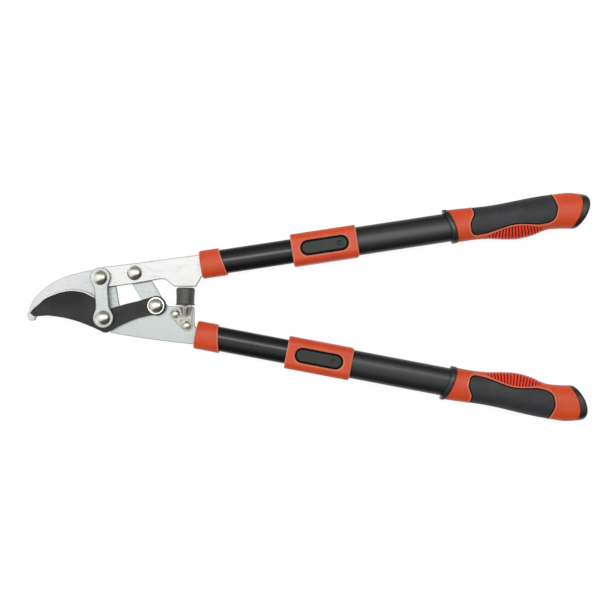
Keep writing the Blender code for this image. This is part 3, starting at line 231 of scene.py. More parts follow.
# Grip's ring and cap
RING_BEND, RING_BEND_REACH = 2.1 * MM, 21.0 * MM
RING_PROUD = 0.9 * MM
RING_ROLL = 1.1 * MM
CAP_ROWS = (0.3, 0.65, 1.0)
CAP_ROUNDING = 3.0 * MM
CAP_SEAM_ROLL = (0.4 * MM, 0.5 * MM)

FINISHES = {}


# Materials


class Nodes:
    """A node tree, with short calls for the nodes that the finishes and the studio use."""

    def __init__(self, owner):
        owner.use_nodes = True
        self.tree = owner.node_tree

    def put(self, socket, value):
        """Gives a socket a number, a vector, a colour or another socket's value."""
        if isinstance(value, float):
            socket.default_value = value
        elif isinstance(value, tuple):
            socket.default_value = value if socket.type == "VECTOR" else (*value, 1.0)
        else:
            self.tree.links.new(value, socket)

    def add(self, kind, inputs, **settings):
        """Adds a node with its settings and with its inputs by name or number."""
        node = self.tree.nodes.new(kind)
        for key, value in settings.items():
            setattr(node, key, value)
        for key, value in inputs.items():
            self.put(node.inputs[key], value)
        return node

    def spread(self, value, low, high, start=0.3, end=0.7):
        return self.add("ShaderNodeMapRange", {"Value": value, "From Min": start, "From Max": end,
                                               "To Min": low, "To Max": high}).outputs["Result"]

    def maths(self, operation, first, second):
        return self.add("ShaderNodeMath", {0: first, 1: second}, operation=operation).outputs["Value"]

    def dot(self, first, second):
        return self.add("ShaderNodeVectorMath", {0: first, 1: second}, operation="DOT_PRODUCT").outputs["Value"]

    def mix(self, share, first, second, kind="RGBA"):
        return self.add("ShaderNodeMix", {"Factor": share, "A": first, "B": second}, data_type=kind).outputs["Result"]


class Finish(Nodes):
    """A material and its node tree."""

    def __init__(self, name):
        FINISHES[name] = bpy.data.materials.new(name)
        super().__init__(FINISHES[name])
        self.shader = self.tree.nodes["Principled BSDF"]
        self.place = self.add("ShaderNodeTexCoord", {}).outputs["Object"]

    def noise(self, scale, stretch=(1.0, 1.0, 1.0), detail=3.0, roughness=0.5):
        mapping = self.add("ShaderNodeMapping", {"Scale": stretch, "Vector": self.place})
        return self.add("ShaderNodeTexNoise", {"Vector": mapping.outputs["Vector"], "Scale": scale, "Detail": detail,
                                               "Roughness": roughness}).outputs["Fac"]

    def bump(self, height, distance, strength):
        node = self.add("ShaderNodeBump", {"Height": height, "Distance": distance, "Strength": strength})
        self.put(self.shader.inputs["Normal"], node.outputs["Normal"])

    def edge_wear_and_painted_light(self, colour, most, edge_wear_and_light_tone):
        """A colour that turns to an edge tone at edges, by the turn of a rounded normal: partly wear, partly painted
        highlight and shade.
        """
        rounded = self.add("ShaderNodeBevel", {"Radius": EDGE_WEAR_AND_LIGHT}, samples=6).outputs["Normal"]
        turn = self.dot(rounded, self.add("ShaderNodeNewGeometry", {}).outputs["Normal"])
        return self.mix(self.spread(turn, 0.0, most, *EDGE_TURN), colour, edge_wear_and_light_tone)

    def shaded_in_crevices(self, before_crevices, crevice_shade_colour):
        """A colour darkened where the surface is shut in: painted shade in crevices."""
        shut = self.add("ShaderNodeAmbientOcclusion", {"Distance": CREVICE}, samples=8, only_local=True)
        return self.mix(self.spread(shut.outputs["AO"], 1.0, 0.0, 0.55, 0.95), before_crevices, crevice_shade_colour)

    def set(self, **values):
        for name, value in values.items():
            self.put(self.shader.inputs[name.replace("_", " ")], value)


def dimmed(colour, share, lift=0.0):
    return tuple(channel * share + lift for channel in colour)


def brushed_metal(name, light, dark, roughness, direction=(1.0, 14.0, 14.0), grain=0.00002, rim=0.9, painted_shade_fade=None,
                  metallic=1.0):
    """Metal with fine lines along its first axis, cloudy tone and small marks, its edges turned to the rim tone by
    wear and painted light, and a painted shade fading in along X when one is given.
    """
    nodes = Finish(name)
    lines = nodes.noise(420.0, direction, 4.0, 0.65)
    cloud = nodes.noise(26.0)
    marks = nodes.noise(130.0, (1.0, 3.0, 1.0), 6.0, 0.7)
    colour = nodes.mix(nodes.maths("ADD", nodes.spread(cloud, 0.0, 0.6), nodes.spread(lines, 0.0, 0.4)), light, dark)
    # Painted shade: the colour fades to a darker tone along the piece's X.
    if painted_shade_fade:
        start, end, shaded_tone = painted_shade_fade
        along = nodes.add("ShaderNodeSeparateXYZ", {0: nodes.place}).outputs["X"]
        colour = nodes.mix(nodes.spread(along, 0.0, 1.0, start, end), colour, shaded_tone)
    rough = nodes.maths("ADD", nodes.spread(lines, roughness - 0.05, roughness + 0.05),
                        nodes.spread(marks, 0.0, 0.08, 0.52, 0.7))
    nodes.set(Base_Color=nodes.edge_wear_and_painted_light(colour, 0.8, (rim, rim, rim)), Roughness=rough, Metallic=metallic)
    nodes.bump(lines, grain, 0.5)


def moulded_plastic(name, colour, roughness, specular=0.5, crevice_shade=0.35, edge_wear_and_light_tone=None):
    """Injection-moulded plastic: fine spark-eroded grain, faint flow clouds, rubbed spots, painted shade in crevices,
    and edges tinted by wear and painted light.
    """
    nodes = Finish(name)
    cloud = nodes.noise(35.0, (1.0, 2.0, 2.0), 2.0)
    fine = nodes.noise(2600.0, detail=2.0)
    rubbed = nodes.noise(210.0, (1.0, 2.5, 2.5), 5.0, 0.65)
    before_crevices = nodes.mix(nodes.spread(cloud, 0.0, 1.0), colour, dimmed(colour, 0.88))
    if edge_wear_and_light_tone:
        before_crevices = nodes.edge_wear_and_painted_light(before_crevices, 0.5, edge_wear_and_light_tone)
    rough = nodes.maths("ADD", nodes.spread(fine, roughness - 0.04, roughness + 0.04),
                        nodes.spread(rubbed, 0.0, -0.07, 0.5, 0.68))
    nodes.set(Base_Color=nodes.shaded_in_crevices(before_crevices, dimmed(colour, crevice_shade)), Roughness=rough, Specular_IOR_Level=specular)
    nodes.bump(fine, 0.00003, 0.6)


def soft_rubber(name, colour, roughness, specular=0.4):
    """Soft rubber with a stippled, dusty skin and painted shade in its hollows."""
    nodes = Finish(name)
    stipple = nodes.noise(1500.0, detail=1.0)
    dust = nodes.noise(60.0, (1.0, 1.6, 1.6), 5.0, 0.6)
    dusty = nodes.mix(nodes.spread(dust, 0.0, 0.7, 0.45, 0.7), colour, dimmed(colour, 1.5, 0.004))
    nodes.set(Base_Color=nodes.shaded_in_crevices(dusty, dimmed(colour, 0.2)),
              Roughness=nodes.spread(stipple, roughness - 0.06, roughness + 0.08), Specular_IOR_Level=specular)
    nodes.bump(stipple, 0.00008, 0.7)


def painted_tube(name, colour, roughness, specular):
    """Black paint on an aluminium tube: faint orange peel, lines along the draw and a little dust."""
    nodes = Finish(name)
    lines = nodes.noise(300.0, (0.04, 1.0, 1.0))
    dust = nodes.noise(900.0, (0.6, 1.0, 1.0), 4.0, 0.7)
    nodes.set(Base_Color=nodes.mix(nodes.spread(dust, 0.0, 0.6, 0.62, 0.78), colour, dimmed(colour, 1.6, 0.006)),
              Roughness=nodes.spread(lines, roughness - 0.04, roughness + 0.05), Specular_IOR_Level=specular)
    nodes.bump(nodes.noise(700.0, detail=1.0), 0.00002, 0.4)


def coated_steel(name):
    """Charcoal non-stick coating on the blade: fine speckle, rubbed streaks and a painted dark reflection, deep black
    round a spot on its face.
    """
    nodes = Finish(name)
    speckle = nodes.noise(3200.0, detail=2.0, roughness=0.7)
    cloud = nodes.noise(45.0, (1.0, 1.5, 1.0), 2.0)
    streak = nodes.noise(240.0, (0.15, 1.0, 1.0), 5.0, 0.7)
    # Painted reflection: the coating turns deep black round a spot on the blade's face.
    painted_reflection_spot = nodes.add("ShaderNodeMapping", {"Location": (*BLADE_DARK_REFLECTION, 0.0), "Scale": (*BLADE_DARK_REFLECTION_REACH, 1.0),
                                            "Vector": nodes.place}, vector_type="TEXTURE")
    depth = nodes.add("ShaderNodeTexGradient", {0: painted_reflection_spot.outputs["Vector"]}, gradient_type="SPHERICAL")
    tone = nodes.maths("ADD", nodes.spread(cloud, 0.0, 0.7, 0.4, 0.6), nodes.spread(speckle, 0.0, 0.3))
    colour = nodes.mix(nodes.spread(depth.outputs["Fac"], 0.0, 1.0, 0.0, 0.5),
                       nodes.mix(tone, (0.023, 0.023, 0.023), (0.036, 0.036, 0.034)), (0.011, 0.011, 0.011))
    rough = nodes.maths("ADD", nodes.spread(speckle, 0.46, 0.58), nodes.spread(streak, 0.0, -0.08, 0.55, 0.75))
    nodes.set(Base_Color=colour, Roughness=rough, Specular_IOR_Level=0.25)
    nodes.bump(speckle, 0.00003, 0.5)


def cast_zinc(name):
    """Dull plated steel with a mottled bloom."""
    nodes = Finish(name)
    bloom = nodes.noise(340.0, detail=5.0, roughness=0.65)
    nodes.set(Base_Color=nodes.mix(nodes.spread(bloom, 0.0, 1.0), (0.46, 0.45, 0.41), (0.24, 0.235, 0.21)),
              Roughness=nodes.spread(bloom, 0.34, 0.55), Metallic=1.0)
    nodes.bump(nodes.noise(1400.0, detail=2.0), 0.00005, 0.6)


def polished_nickel(name, shine=0.18):
    """Warm bright plating with hairline scratches."""
    nodes = Finish(name)
    hair = nodes.noise(500.0, (1.0, 7.0, 1.0), 5.0, 0.7)
    cloud = nodes.noise(120.0)
    nodes.set(Base_Color=nodes.mix(nodes.spread(cloud, 0.0, 1.0), (0.92, 0.92, 0.82), (0.82, 0.81, 0.68)),
              Roughness=nodes.spread(hair, shine, shine + 0.10), Metallic=1.0)
    nodes.bump(hair, 0.000008, 0.4)


def make_finishes():
    # The rim tone paints each metal's edges: lighter than the face it is partly wear and partly painted highlight,
    # darker it is painted shade.
    brushed_metal("satin_steel", (0.63, 0.63, 0.62), (0.56, 0.56, 0.555), 0.50, rim=0.50)
    # hook_steel fades to a darker, bluer tone towards the rear of the hook plate: painted shade.
    brushed_metal("hook_steel", (0.60, 0.60, 0.60), (0.52, 0.52, 0.52), 0.50, rim=0.55,
                  painted_shade_fade=(-0.300, -0.245, (0.465, 0.50, 0.485)))
    brushed_metal("link_steel", (0.50, 0.53, 0.52), (0.45, 0.48, 0.47), 0.50, (14.0, 1.0, 14.0))
    # ground_steel is bare steel made near-white and less metallic: a painted highlight on the ground strip.
    brushed_metal("ground_steel", (0.98, 0.98, 0.97), (0.93, 0.93, 0.92), 0.35, (14.0, 1.5, 14.0), metallic=0.4)
    # sheared_steel darkens the plates' side walls: sheared-edge tone and painted shade.
    brushed_metal("sheared_steel", (0.16, 0.16, 0.16), (0.09, 0.09, 0.09), 0.60, (1.0, 1.0, 9.0), 0.00005, 0.25)
    brushed_metal("spring_steel", (0.50, 0.50, 0.51), (0.38, 0.38, 0.39), 0.30)
    # blackened_steel on the rocker pin is partly its finish and partly painted shade in the slot's gap.
    brushed_metal("blackened_steel", (0.10, 0.10, 0.10), (0.06, 0.06, 0.06), 0.45, rim=0.15)
    coated_steel("coated_steel")
    polished_nickel("nickel")
    polished_nickel("rivet_nickel", 0.38)
    cast_zinc("zinc")
    moulded_plastic("red_plastic", (0.745, 0.082, 0.022), 0.42, 0.33, 0.22)
    # pale_red paints highlights on the rims of the ferrules, the collars and the core's lip.
    moulded_plastic("pale_red", (0.78, 0.21, 0.12), 0.36, 0.45)
    # rib_red is a copy of the red, deeper and with darker crevices, standing in for how the ribbed field is lit:
    # painted light and shade.
    moulded_plastic("rib_red", (0.94, 0.064, 0.030), 0.40, 0.33, 0.10)
    # black_plastic's lighter edges are partly wear and partly painted highlight; button_plastic's near-black edges
    # are painted shade.
    moulded_plastic("black_plastic", (0.018, 0.019, 0.019), 0.32, edge_wear_and_light_tone=(0.05, 0.05, 0.05))
    moulded_plastic("button_plastic", (0.028, 0.036, 0.029), 0.48, 0.28, edge_wear_and_light_tone=(0.003, 0.003, 0.003))
    # seam_black paints shade along the pad's seam and round the button's sides.
    soft_rubber("seam_black", (0.005, 0.005, 0.005), 0.6, 0.15)
    soft_rubber("soft_black", (0.026, 0.027, 0.029), 0.55)
    soft_rubber("bumper_black", (0.064, 0.065, 0.060), 0.42, 0.6)
    painted_tube("inner_paint", (0.008, 0.008, 0.008), 0.20, 0.42)
    painted_tube("outer_paint", (0.012, 0.012, 0.012), 0.34, 0.5)


# Pieces


def mesh_of(name, work):
    mesh = bpy.data.meshes.new(name)
    work.to_mesh(mesh)
    work.free()
    return mesh


def linked(name, data):
    thing = bpy.data.objects.new(name, data)
    bpy.context.scene.collection.objects.link(thing)
    return thing


def shade(mesh, sharp, level):
    """Smooth shading up to an angle. Level faces can be kept flat, so that no gradient runs over them."""
    mesh.shade_smooth()
    mesh.set_sharp_from_angle(angle=math.radians(sharp))
    if level:
        for face in mesh.polygons:
            face.use_smooth = abs(face.normal.z) < LEVEL_ENOUGH


def finished(name, work, finishes, node, place=None, sharp=SHARP, level=False):
    """Turns a bmesh into a piece that replaces a CAD node, rides on its body and takes its finish from a slot."""
    bmesh.ops.recalc_face_normals(work, faces=work.faces)
    mesh = mesh_of(name, work)
    shade(mesh, sharp, level)
    piece = linked(name, mesh)
    if place is not None:
        piece.matrix_world = place
    for finish in finishes.split():
        mesh.materials.append(FINISHES[finish])
    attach(piece, BODY_OF[node])
    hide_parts(node)
    return piece


def carried(node, finish, edge=0.25 * MM):
    """A CAD node that stays, with its edges eased and its finish."""
    piece = frame["nodes"][node]
    piece.data.materials.clear()
    piece.data.materials.append(FINISHES[finish])
    piece.modifiers.new("weld", "WELD").merge_threshold = WELD
    bevel = piece.modifiers.new("eased edges", "BEVEL")
    bevel.width = edge
    bevel.segments = 2
    bevel.limit_method = "ANGLE"
    bevel.angle_limit = EASED_FROM


def cut(piece, work, operation="DIFFERENCE", sharp=SHARP, level=False):
    """Cuts a piece with a tool made from a bmesh, or joins the two, and keeps the result as its mesh."""
    bmesh.ops.recalc_face_normals(work, faces=work.faces)
    tool = linked("tool", mesh_of("tool", work))
    tool.matrix_world = piece.matrix_world
    modifier = piece.modifiers.new("cut", "BOOLEAN")
    modifier.operation = operation
    modifier.object = tool
    bpy.context.view_layer.update()
    result = bpy.data.meshes.new_from_object(piece.evaluated_get(bpy.context.evaluated_depsgraph_get()))
    piece.modifiers.remove(modifier)
    spent = (piece.data, tool.data)
    piece.data = result
    bpy.data.objects.remove(tool, do_unlink=True)
    for mesh in spent:
        bpy.data.meshes.remove(mesh)
    shade(result, sharp, level)


def arc(centre, radius, start, turn, steps):
    """The points of an arc, with both its ends."""
    angles = [start + turn * k / steps for k in range(steps + 1)]
    return [(centre[0] + radius * math.cos(angle), centre[1] + radius * math.sin(angle)) for angle in angles]


def smooth_run(start, first, end, last, t):
    """The point at share t of a run that leaves its start along one vector and reaches its end along another."""
    return (start * (2 * t ** 3 - 3 * t ** 2 + 1) + first * (t ** 3 - 2 * t ** 2 + t)
            + end * (3 * t ** 2 - 2 * t ** 3) + last * (t ** 3 - t ** 2))


def quarter(steps, first=0):
    """The sines and cosines of a quarter turn's steps, with which rims are rounded."""
    return [(math.sin(math.pi / 2 * k / steps), math.cos(math.pi / 2 * k / steps)) for k in range(first, steps + 1)]


def around(row):
    """Each item of a closed row, between the one before and the one after it."""
    return list(zip(row[-1:] + row[:-1], row, row[1:] + row[:1]))


def fine_curve(loop, step=FINE_STEP):
    """A smooth closed line through a faceted outline: short edges with little turn bend, others stay straight."""
    edges = [after - point for _, point, after in around(loop)]
    leaving, arriving = [], []
    for before, edge, _ in around(edges):
        turn = before.angle_signed(edge, 0.0)
        straight_before, straight = before.length > STRAIGHT, edge.length > STRAIGHT
        if abs(turn) > CORNER or (straight_before and straight):
            arriving.append(before.normalized())
            leaving.append(edge.normalized())
            continue
        share = 0.0 if straight_before else 1.0 if straight else before.length / (before.length + edge.length)
        direction = before.normalized()
        direction.rotate(Matrix.Rotation(-turn * share, 2))
        arriving.append(direction)
        leaving.append(direction)
    fine = []
    for start, end, edge, first, last in zip(loop, loop[1:] + loop[:1], edges, leaving, arriving[1:] + arriving[:1]):
        bends = first.angle(last, 0.0) > BENT or first.angle(edge, 0.0) > BENT
        steps = max(1, math.ceil(edge.length / step)) if bends else 1
        fine += [smooth_run(start, first * edge.length, end, last * edge.length, k / steps) for k in range(steps)]
    return fine


def area_of(loop):
    """The area in a loop, positive for one that runs anticlockwise."""
    return sum(a.x * b.y - b.x * a.y for _, a, b in around(loop)) / 2


def welded(node):
    """A CAD node's solid as a bmesh whose faces share their vertices."""
    work = bmesh.new()
    work.from_mesh(frame["nodes"][node].data)
    bmesh.ops.remove_doubles(work, verts=work.verts, dist=WELD)
    return work


def section(node, height):
    """The closed outlines of a CAD node at a level, the outer one first and anticlockwise, holes clockwise."""
    work = welded(node)
    found = bmesh.ops.bisect_plane(work, geom=work.verts[:] + work.edges[:] + work.faces[:], dist=TINY,
                                   plane_co=(0.0, 0.0, height), plane_no=(0.0, 0.0, 1.0))
    edges = {edge for edge in found["geom_cut"] if isinstance(edge, bmesh.types.BMEdge)}
    loops = []
    while edges:
        points = list(edges.pop().verts)
        while points[-1] != points[0]:
            onward = next(edge for edge in points[-1].link_edges if edge in edges)
            edges.remove(onward)
            points.append(onward.other_vert(points[-1]))
        loop = [vert.co.xy for vert in points[:-1]]
        loops.append([point for before, point, after in around(loop) if (point - before).length > WELD / 10
                      and (point - before).angle(after - point, 0.0) > IN_LINE])
    work.free()
    loops.sort(key=lambda loop: -abs(area_of(loop)))
    return [loop if (area_of(loop) > 0) == (i == 0) else loop[::-1] for i, loop in enumerate(loops)]


def inset(loop, amounts):
    """A loop moved to its left, which is into the material, by one amount or one for each point."""
    moved = []
    for (before, point, after), amount in zip(around(loop), np.broadcast_to(amounts, len(loop))):
        first, second = (point - before).normalized(), (after - point).normalized()
        across = Vector((-(first.y + second.y), first.x + second.x))
        moved.append(point + across / 2 / max(across.length_squared / 4, BLUNTEST) * float(amount))
    return moved


def stacked(levels):
    """Skins rows of matching outlines at their heights and closes both ends. Returns the side faces of each row."""
    work = bmesh.new()
    rows = [[[work.verts.new((p.x, p.y, height)) for p in loop] for loop in loops] for loops, height in levels]
    sides = [[work.faces.new((first[i - 1], first[i], second[i], second[i - 1]))
              for first, second in zip(low, high) for i in range(len(first))] for low, high in zip(rows, rows[1:])]
    for row in (rows[0], rows[-1]):
        rim = [work.edges.get((vert, after)) for loop in row for _, vert, after in around(loop)]
        bmesh.ops.triangle_fill(work, edges=rim, use_beauty=True)
    return work, sides


def rounded_levels(loops, low, high, edge):
    """Levels of a plate whose two rims are rounded by a quarter circle."""
    rim = [([inset(loop, edge * (1 - s)) for loop in loops], edge * (1 - c)) for s, c in quarter(RIM_STEPS)]
    return [(moved, low + rise) for moved, rise in rim] + [(moved, high - rise) for moved, rise in reversed(rim)]


def skinned(rings, closed=False, capped=True, marked=()):
    """Skins rings or single points, with flat ends or as a closed row. Marked rows take the second finish."""
    work = bmesh.new()
    count = max(len(ring) for ring in rings)
    rows = [[work.verts.new(point) for point in ring] * (count // len(ring)) for ring in rings]
    for index, (first, second) in enumerate(zip(rows, rows[1:] + rows[:int(closed)])):
        for i in range(count):
            corners = list(dict.fromkeys((first[i - 1], first[i], second[i], second[i - 1])))
            if len(corners) > 2:
                work.faces.new(corners).material_index = int(index in marked)
    if capped and not closed:
        for row in (rows[0], rows[-1]):
            if row[0] != row[1]:
                work.faces.new(row)
    return work


def plate(node, finish, edge):
    """A flat plate with the CAD node's outline, drawn finer and with rounded rims and a dark wall: a sheared-edge
    tone that is also painted shade.
    """
    low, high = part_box(node)
    loops = [fine_curve(loop) for loop in section(node, (low.z + high.z) / 2)]
    work, sides = stacked(rounded_levels(loops, low.z, high.z, edge))
    for face in sides[len(sides) // 2]:
        face.material_index = 1
    finished(node + "_plate", work, finish + " sheared_steel", node, sharp=CRISP, level=True)


def turning_path(node, axis):
    """The (radius, height) profile of a turned CAD node, walked from ring to ring, and whether it is a closed one."""
    low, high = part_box(node)
    centre = (low + high) / 2

    def ring_of(vert):
        away = vert.co - centre
        height, away[axis] = away[axis], 0.0
        return round(away.length, RING_DIGITS), round(height, RING_DIGITS)

    work = welded(node)
    links = {}
    for edge in work.edges:
        pair = {ring_of(vert) for vert in edge.verts}
        for ring in pair:
            links.setdefault(ring, set()).update(pair - {ring})
    work.free()
    ends = [ring for ring in links if len(links[ring]) == 1]
    path = [max(ends or links, key=lambda ring: (ring[1], -ring[0]))]
    while onward := [ring for ring in links[path[-1]] if ring not in path]:
        path.append(onward[0])
    return centre, path, not ends


def turned(node, finish, axis=2):
    """A turned piece, spun again from the CAD node's profile with finer steps."""
    centre, path, closed = turning_path(node, axis)
    points = [Vector(p) for p in path]
    if closed:
        profile = fine_curve(points, TURNED_STEP)
    else:
        mirrored = [Vector((-p.x, p.y)) for p in reversed(points) if p.x > TINY]
        profile = [p for p in fine_curve(points + mirrored, TURNED_STEP) if p.x > -TINY]
        top = next((i for i, p in enumerate(profile) if p.x < TINY), 0)
        profile = profile[top:] + profile[:top]
    turns = [math.tau * i / TURNED_SIDES for i in range(TURNED_SIDES)]
    rings = [[(0.0, 0.0, p.y)] if p.x < TINY else [(p.x * math.cos(a), p.x * math.sin(a), p.y) for a in turns]
             for p in profile]
    turn = Matrix.Rotation(math.radians(-90.0), 4, "X") if axis == 1 else Matrix.Identity(4)
    finished(node + "_turned", skinned(rings, closed), finish, node, Matrix.Translation(centre) @ turn)


# Handles


def handle_frame(name):
    """The frame of a handle: it starts at the collar, and runs along the slide with Z up."""
    slide, button = JOINTS[name + "_slide"], JOINTS[name + "_button"]
    along = Vector(slide["axis"]).normalized()
    start = Vector(button["pos_m"]) - along * SLOT_MIDDLE
    start.z = AXIS_HEIGHT
    up = Vector((0.0, 0.0, 1.0))
    turn = Matrix((along, up.cross(along), up)).transposed().to_4x4()
    return Matrix.Translation(start) @ turn


def local_points(node, place):
    """A CAD node's vertices in its handle's frame."""
    inverse = place.inverted()
    return [inverse @ vert.co for vert in frame["nodes"][node].data.vertices]


def extent_of(node, place):
    """The first and last station of a CAD node along its handle, and its width and depth about the handle's axis."""
    stations, across, up = zip(*local_points(node, place))
    return min(stations), max(stations), 2 * max(map(abs, across)), 2 * max(map(abs, up))


def bore_for(node, place):
    """The width and depth of a bore round a CAD node, with a gap all round."""
    return [size + 2 * GAP for size in extent_of(node, place)[2:]]


def oval(station, width, depth, roundness=TUBE_ROUNDNESS, sides=TUBE_SIDES, slant=0.0):
    """A ring across the handle: round at a roundness of 2, and squarer above."""
    ring = []
    for i in range(sides):
        angle = math.tau * i / sides
        c, s = math.cos(angle), math.sin(angle)
        across = width / 2 * math.copysign(abs(c) ** (2 / roundness), c)
        up = depth / 2 * math.copysign(abs(s) ** (2 / roundness), s)
        ring.append((station - slant * across, across, up))
    return ring


def cylinder_tool(radius, low, high, centre, tilt=0.0):
    """A cylinder between two heights, which are heights above the centre once it is tilted."""
    work = bmesh.new()
    place = Matrix.Translation(centre) @ Matrix.Rotation(math.radians(tilt), 4, "X")
    bmesh.ops.create_cone(work, cap_ends=True, segments=TOOL_SIDES, radius1=radius, radius2=radius, depth=high - low,
                          matrix=place @ Matrix.Translation((0.0, 0.0, (low + high) / 2)))
    return work


def stadium(height, length, width):
    """A level ring with round ends about the slot's middle."""
    away = (length - width) / 2
    ring = arc((SLOT_MIDDLE + away, 0.0), width / 2, -math.pi / 2, math.pi, STADIUM_STEPS)
    ring += arc((SLOT_MIDDLE - away, 0.0), width / 2, math.pi / 2, math.pi, STADIUM_STEPS)
    return [(x, y, height) for x, y in ring]


def sink_screw(piece, node, place):
    """Cuts a screw's recess and hole into the back of a moulding."""
    low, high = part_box(node)
    centre = place.inverted() @ ((low + high) / 2)
    bottom = low.z - AXIS_HEIGHT
    cut(piece, cylinder_tool((high.x - low.x) / 2 + GAP, bottom - 2 * TOOL_PROUD, bottom + SCREW_HEAD,
                             (centre.x, centre.y, 0.0)))


def make_ferrule(name, place):
    """The red moulded end of a handle, with a rounded nose, a slanted rear lip painted pale as a highlight and the
    slot for the tang.
    """
    node = name + "_ferrule"
    start, end, width, depth = extent_of(node, place)
    start += NOSE_BACK[name]
    bore = bore_for(name + "_inner_tube", place)
    rear = end - FERRULE_SLANT * width / 2

    def ring(station, fall, slant=FERRULE_SLANT):
        return oval(station, width - 2 * fall, depth - 2 * fall, slant=slant)

    nose = [ring(start + FERRULE_NOSE * (1 - c), FERRULE_NOSE * (1 - s), 0.0) for s, c in quarter(5)]
    lip = [ring(rear - FERRULE_LIP - HIGHLIGHT_LIP, 0.0)]
    lip += [ring(rear - FERRULE_LIP * (1 - s), FERRULE_LIP * (1 - c)) for s, c in quarter(4)]
    rings = nose + lip + [oval(rear, *bore, slant=FERRULE_SLANT), oval(start + FERRULE_BORE, *bore)]
    piece = finished(node + "_shell", skinned(rings, marked=range(len(nose), len(nose + lip) - 1)),
                     "red_plastic pale_red", node, place)
    low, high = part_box(TANG_OF[name])
    inside = [p.y for p in local_points(TANG_OF[name], place) if p.x > start - TOOL_PROUD]
    lowest = Vector((start + TANG_SLOT[0], min(inside) - GAP, low.z - AXIS_HEIGHT - GAP))
    highest = Vector((start + TANG_SLOT[1], max(inside) + GAP, high.z - AXIS_HEIGHT + GAP))
    work = bmesh.new()
    bmesh.ops.create_cube(work, size=1.0, matrix=Matrix.LocRotScale((lowest + highest) / 2, None, highest - lowest))
    cut(piece, work)
    sink_screw(piece, name + "_tang_screw", place)


def make_tubes(name, place):
    """The painted tubes, open and with slightly rounded ends, and the inner tube's row of holes."""
    for kind, finish, roundness in (("_inner_tube", "inner_paint", INNER_ROUNDNESS),
                                    ("_outer_tube", "outer_paint", TUBE_ROUNDNESS)):
        node = name + kind
        start, end, width, depth = extent_of(node, place)
        wall = ((start, TUBE_LIP), (start + TUBE_LIP, 0.0), (end - TUBE_LIP, 0.0), (end, TUBE_LIP),
                (end, TUBE_WALL), (start, TUBE_WALL))
        rings = [oval(station, width - 2 * fall, depth - 2 * fall, roundness) for station, fall in wall]
        piece = finished(node + "_paint", skinned(rings, closed=True), finish, node, place)
        if kind == "_inner_tube":
            for k in range(DETENT_COUNT):
                cut(piece, cylinder_tool(DETENT_RADIUS, 0.0, depth, (DETENT_FIRST + k * DETENT_PITCH, 0.0, 0.0)))


def rounded_box_section(width, low, high, top_corner, low_corner, steps=10):
    """A box's outline with its own radius for the two upper and for the two lower corners."""
    corners = ((width / 2, low, low_corner, -90.0), (width / 2, high, top_corner, 0.0),
               (-width / 2, high, top_corner, 90.0), (-width / 2, low, low_corner, 180.0))
    points = []
    for y, z, radius, start in corners:
        centre = (y - math.copysign(radius, y), z + radius if z == low else z - radius)
        points += arc(centre, radius, math.radians(start), math.pi / 2, steps)
    return points


def make_collar(name, place):
    """The lock's housing: rounded ends, tube bore and a slot whose rim is a rounded chamfer; the end rims and the
    slot's rim are painted pale as highlights.
    """
    node = name + "_lock_collar"
    start, end, width, _ = extent_of(node, place)
    low, high = (corner.z - AXIS_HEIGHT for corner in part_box(node))
    inner, outer = bore_for(name + "_inner_tube", place), bore_for(name + "_outer_tube", place)
    stations = [(start + COLLAR_EDGE * (1 - c), COLLAR_EDGE * (1 - s)) for s, c in quarter(5)]
    stations += [(start + end - station, fall) for station, fall in reversed(stations)]
    rings = [[(station, y, z) for y, z in rounded_box_section(
        width - 2 * fall, low + fall, high - fall, *(corner - fall for corner in COLLAR_CORNERS))]
        for station, fall in stations]
    highlight_rims = (*range(1, 5), *range(6, 10))
    piece = finished(node + "_shell", skinned(rings, marked=highlight_rims), "red_plastic pale_red", node,
                     place)
    cut(piece, skinned([oval(start + COLLAR_WALL, *outer), oval(end + COLLAR_WALL, *outer)]))
    cut(piece, skinned([oval(start - COLLAR_WALL, *inner), oval(start + COLLAR_WALL + GAP, *inner)]))
    levels = [(high - SLOT_DEPTH, 0.0), (high - SLOT_RIM, 0.0)]
    levels += [(high - SLOT_RIM * (1 - s), SLOT_RIM * (1 - c)) for s, c in quarter(5, 1)]
    levels.append((high + TOOL_PROUD, SLOT_RIM))
    cut(piece, skinned([stadium(z, SLOT_LENGTH + 2 * out, SLOT_WIDTH + 2 * out) for z, out in levels],
                       marked=range(2, len(levels) - 2)))
    sink_screw(piece, name + "_collar_screw", place)


def make_button(name, place):
    """The rocker button: crowned top with soft rims, a thumb dimple near its grip end and a lug for its pin; its
    sides and most of its rim are painted black as shade.
    """
    node = name + "_rocker_button"
    start, end, width, _ = extent_of(node, place)
    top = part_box(node)[1].z - AXIS_HEIGHT
    foot = top - BUTTON_THICKNESS
    levels = [(foot, BUTTON_FOOT), (foot + BUTTON_FOOT, 0.0), (top - BUTTON_CROWN, 0.0)]
    levels += [(top - BUTTON_CROWN * (1 - s), BUTTON_RIM * (1 - c)) for s, c in quarter(7, 1)]
    rings = [stadium(z, end - start - 2 * fall, width - 2 * fall) for z, fall in levels]
    piece = finished(node + "_cap", skinned(rings, marked=range(1, len(levels) - 2)), "button_plastic seam_black",
                     node, place, CRISP)
    ball = bmesh.new()
    bmesh.ops.create_uvsphere(ball, u_segments=TOOL_SIDES, v_segments=BALL_ROWS, radius=DIMPLE_RADIUS,
                              matrix=Matrix.Translation((SLOT_MIDDLE + DIMPLE_PLACE, 0.0,
                                                         top + DIMPLE_RADIUS - DIMPLE_DEPTH)))
    cut(piece, ball, sharp=CRISP, level=True)
    lug = cylinder_tool(LUG_RADIUS, -LUG_HALF, LUG_HALF, (SLOT_MIDDLE, 0.0, top - LUG_DROP), tilt=90.0)
    cut(piece, lug, "UNION", CRISP, True)


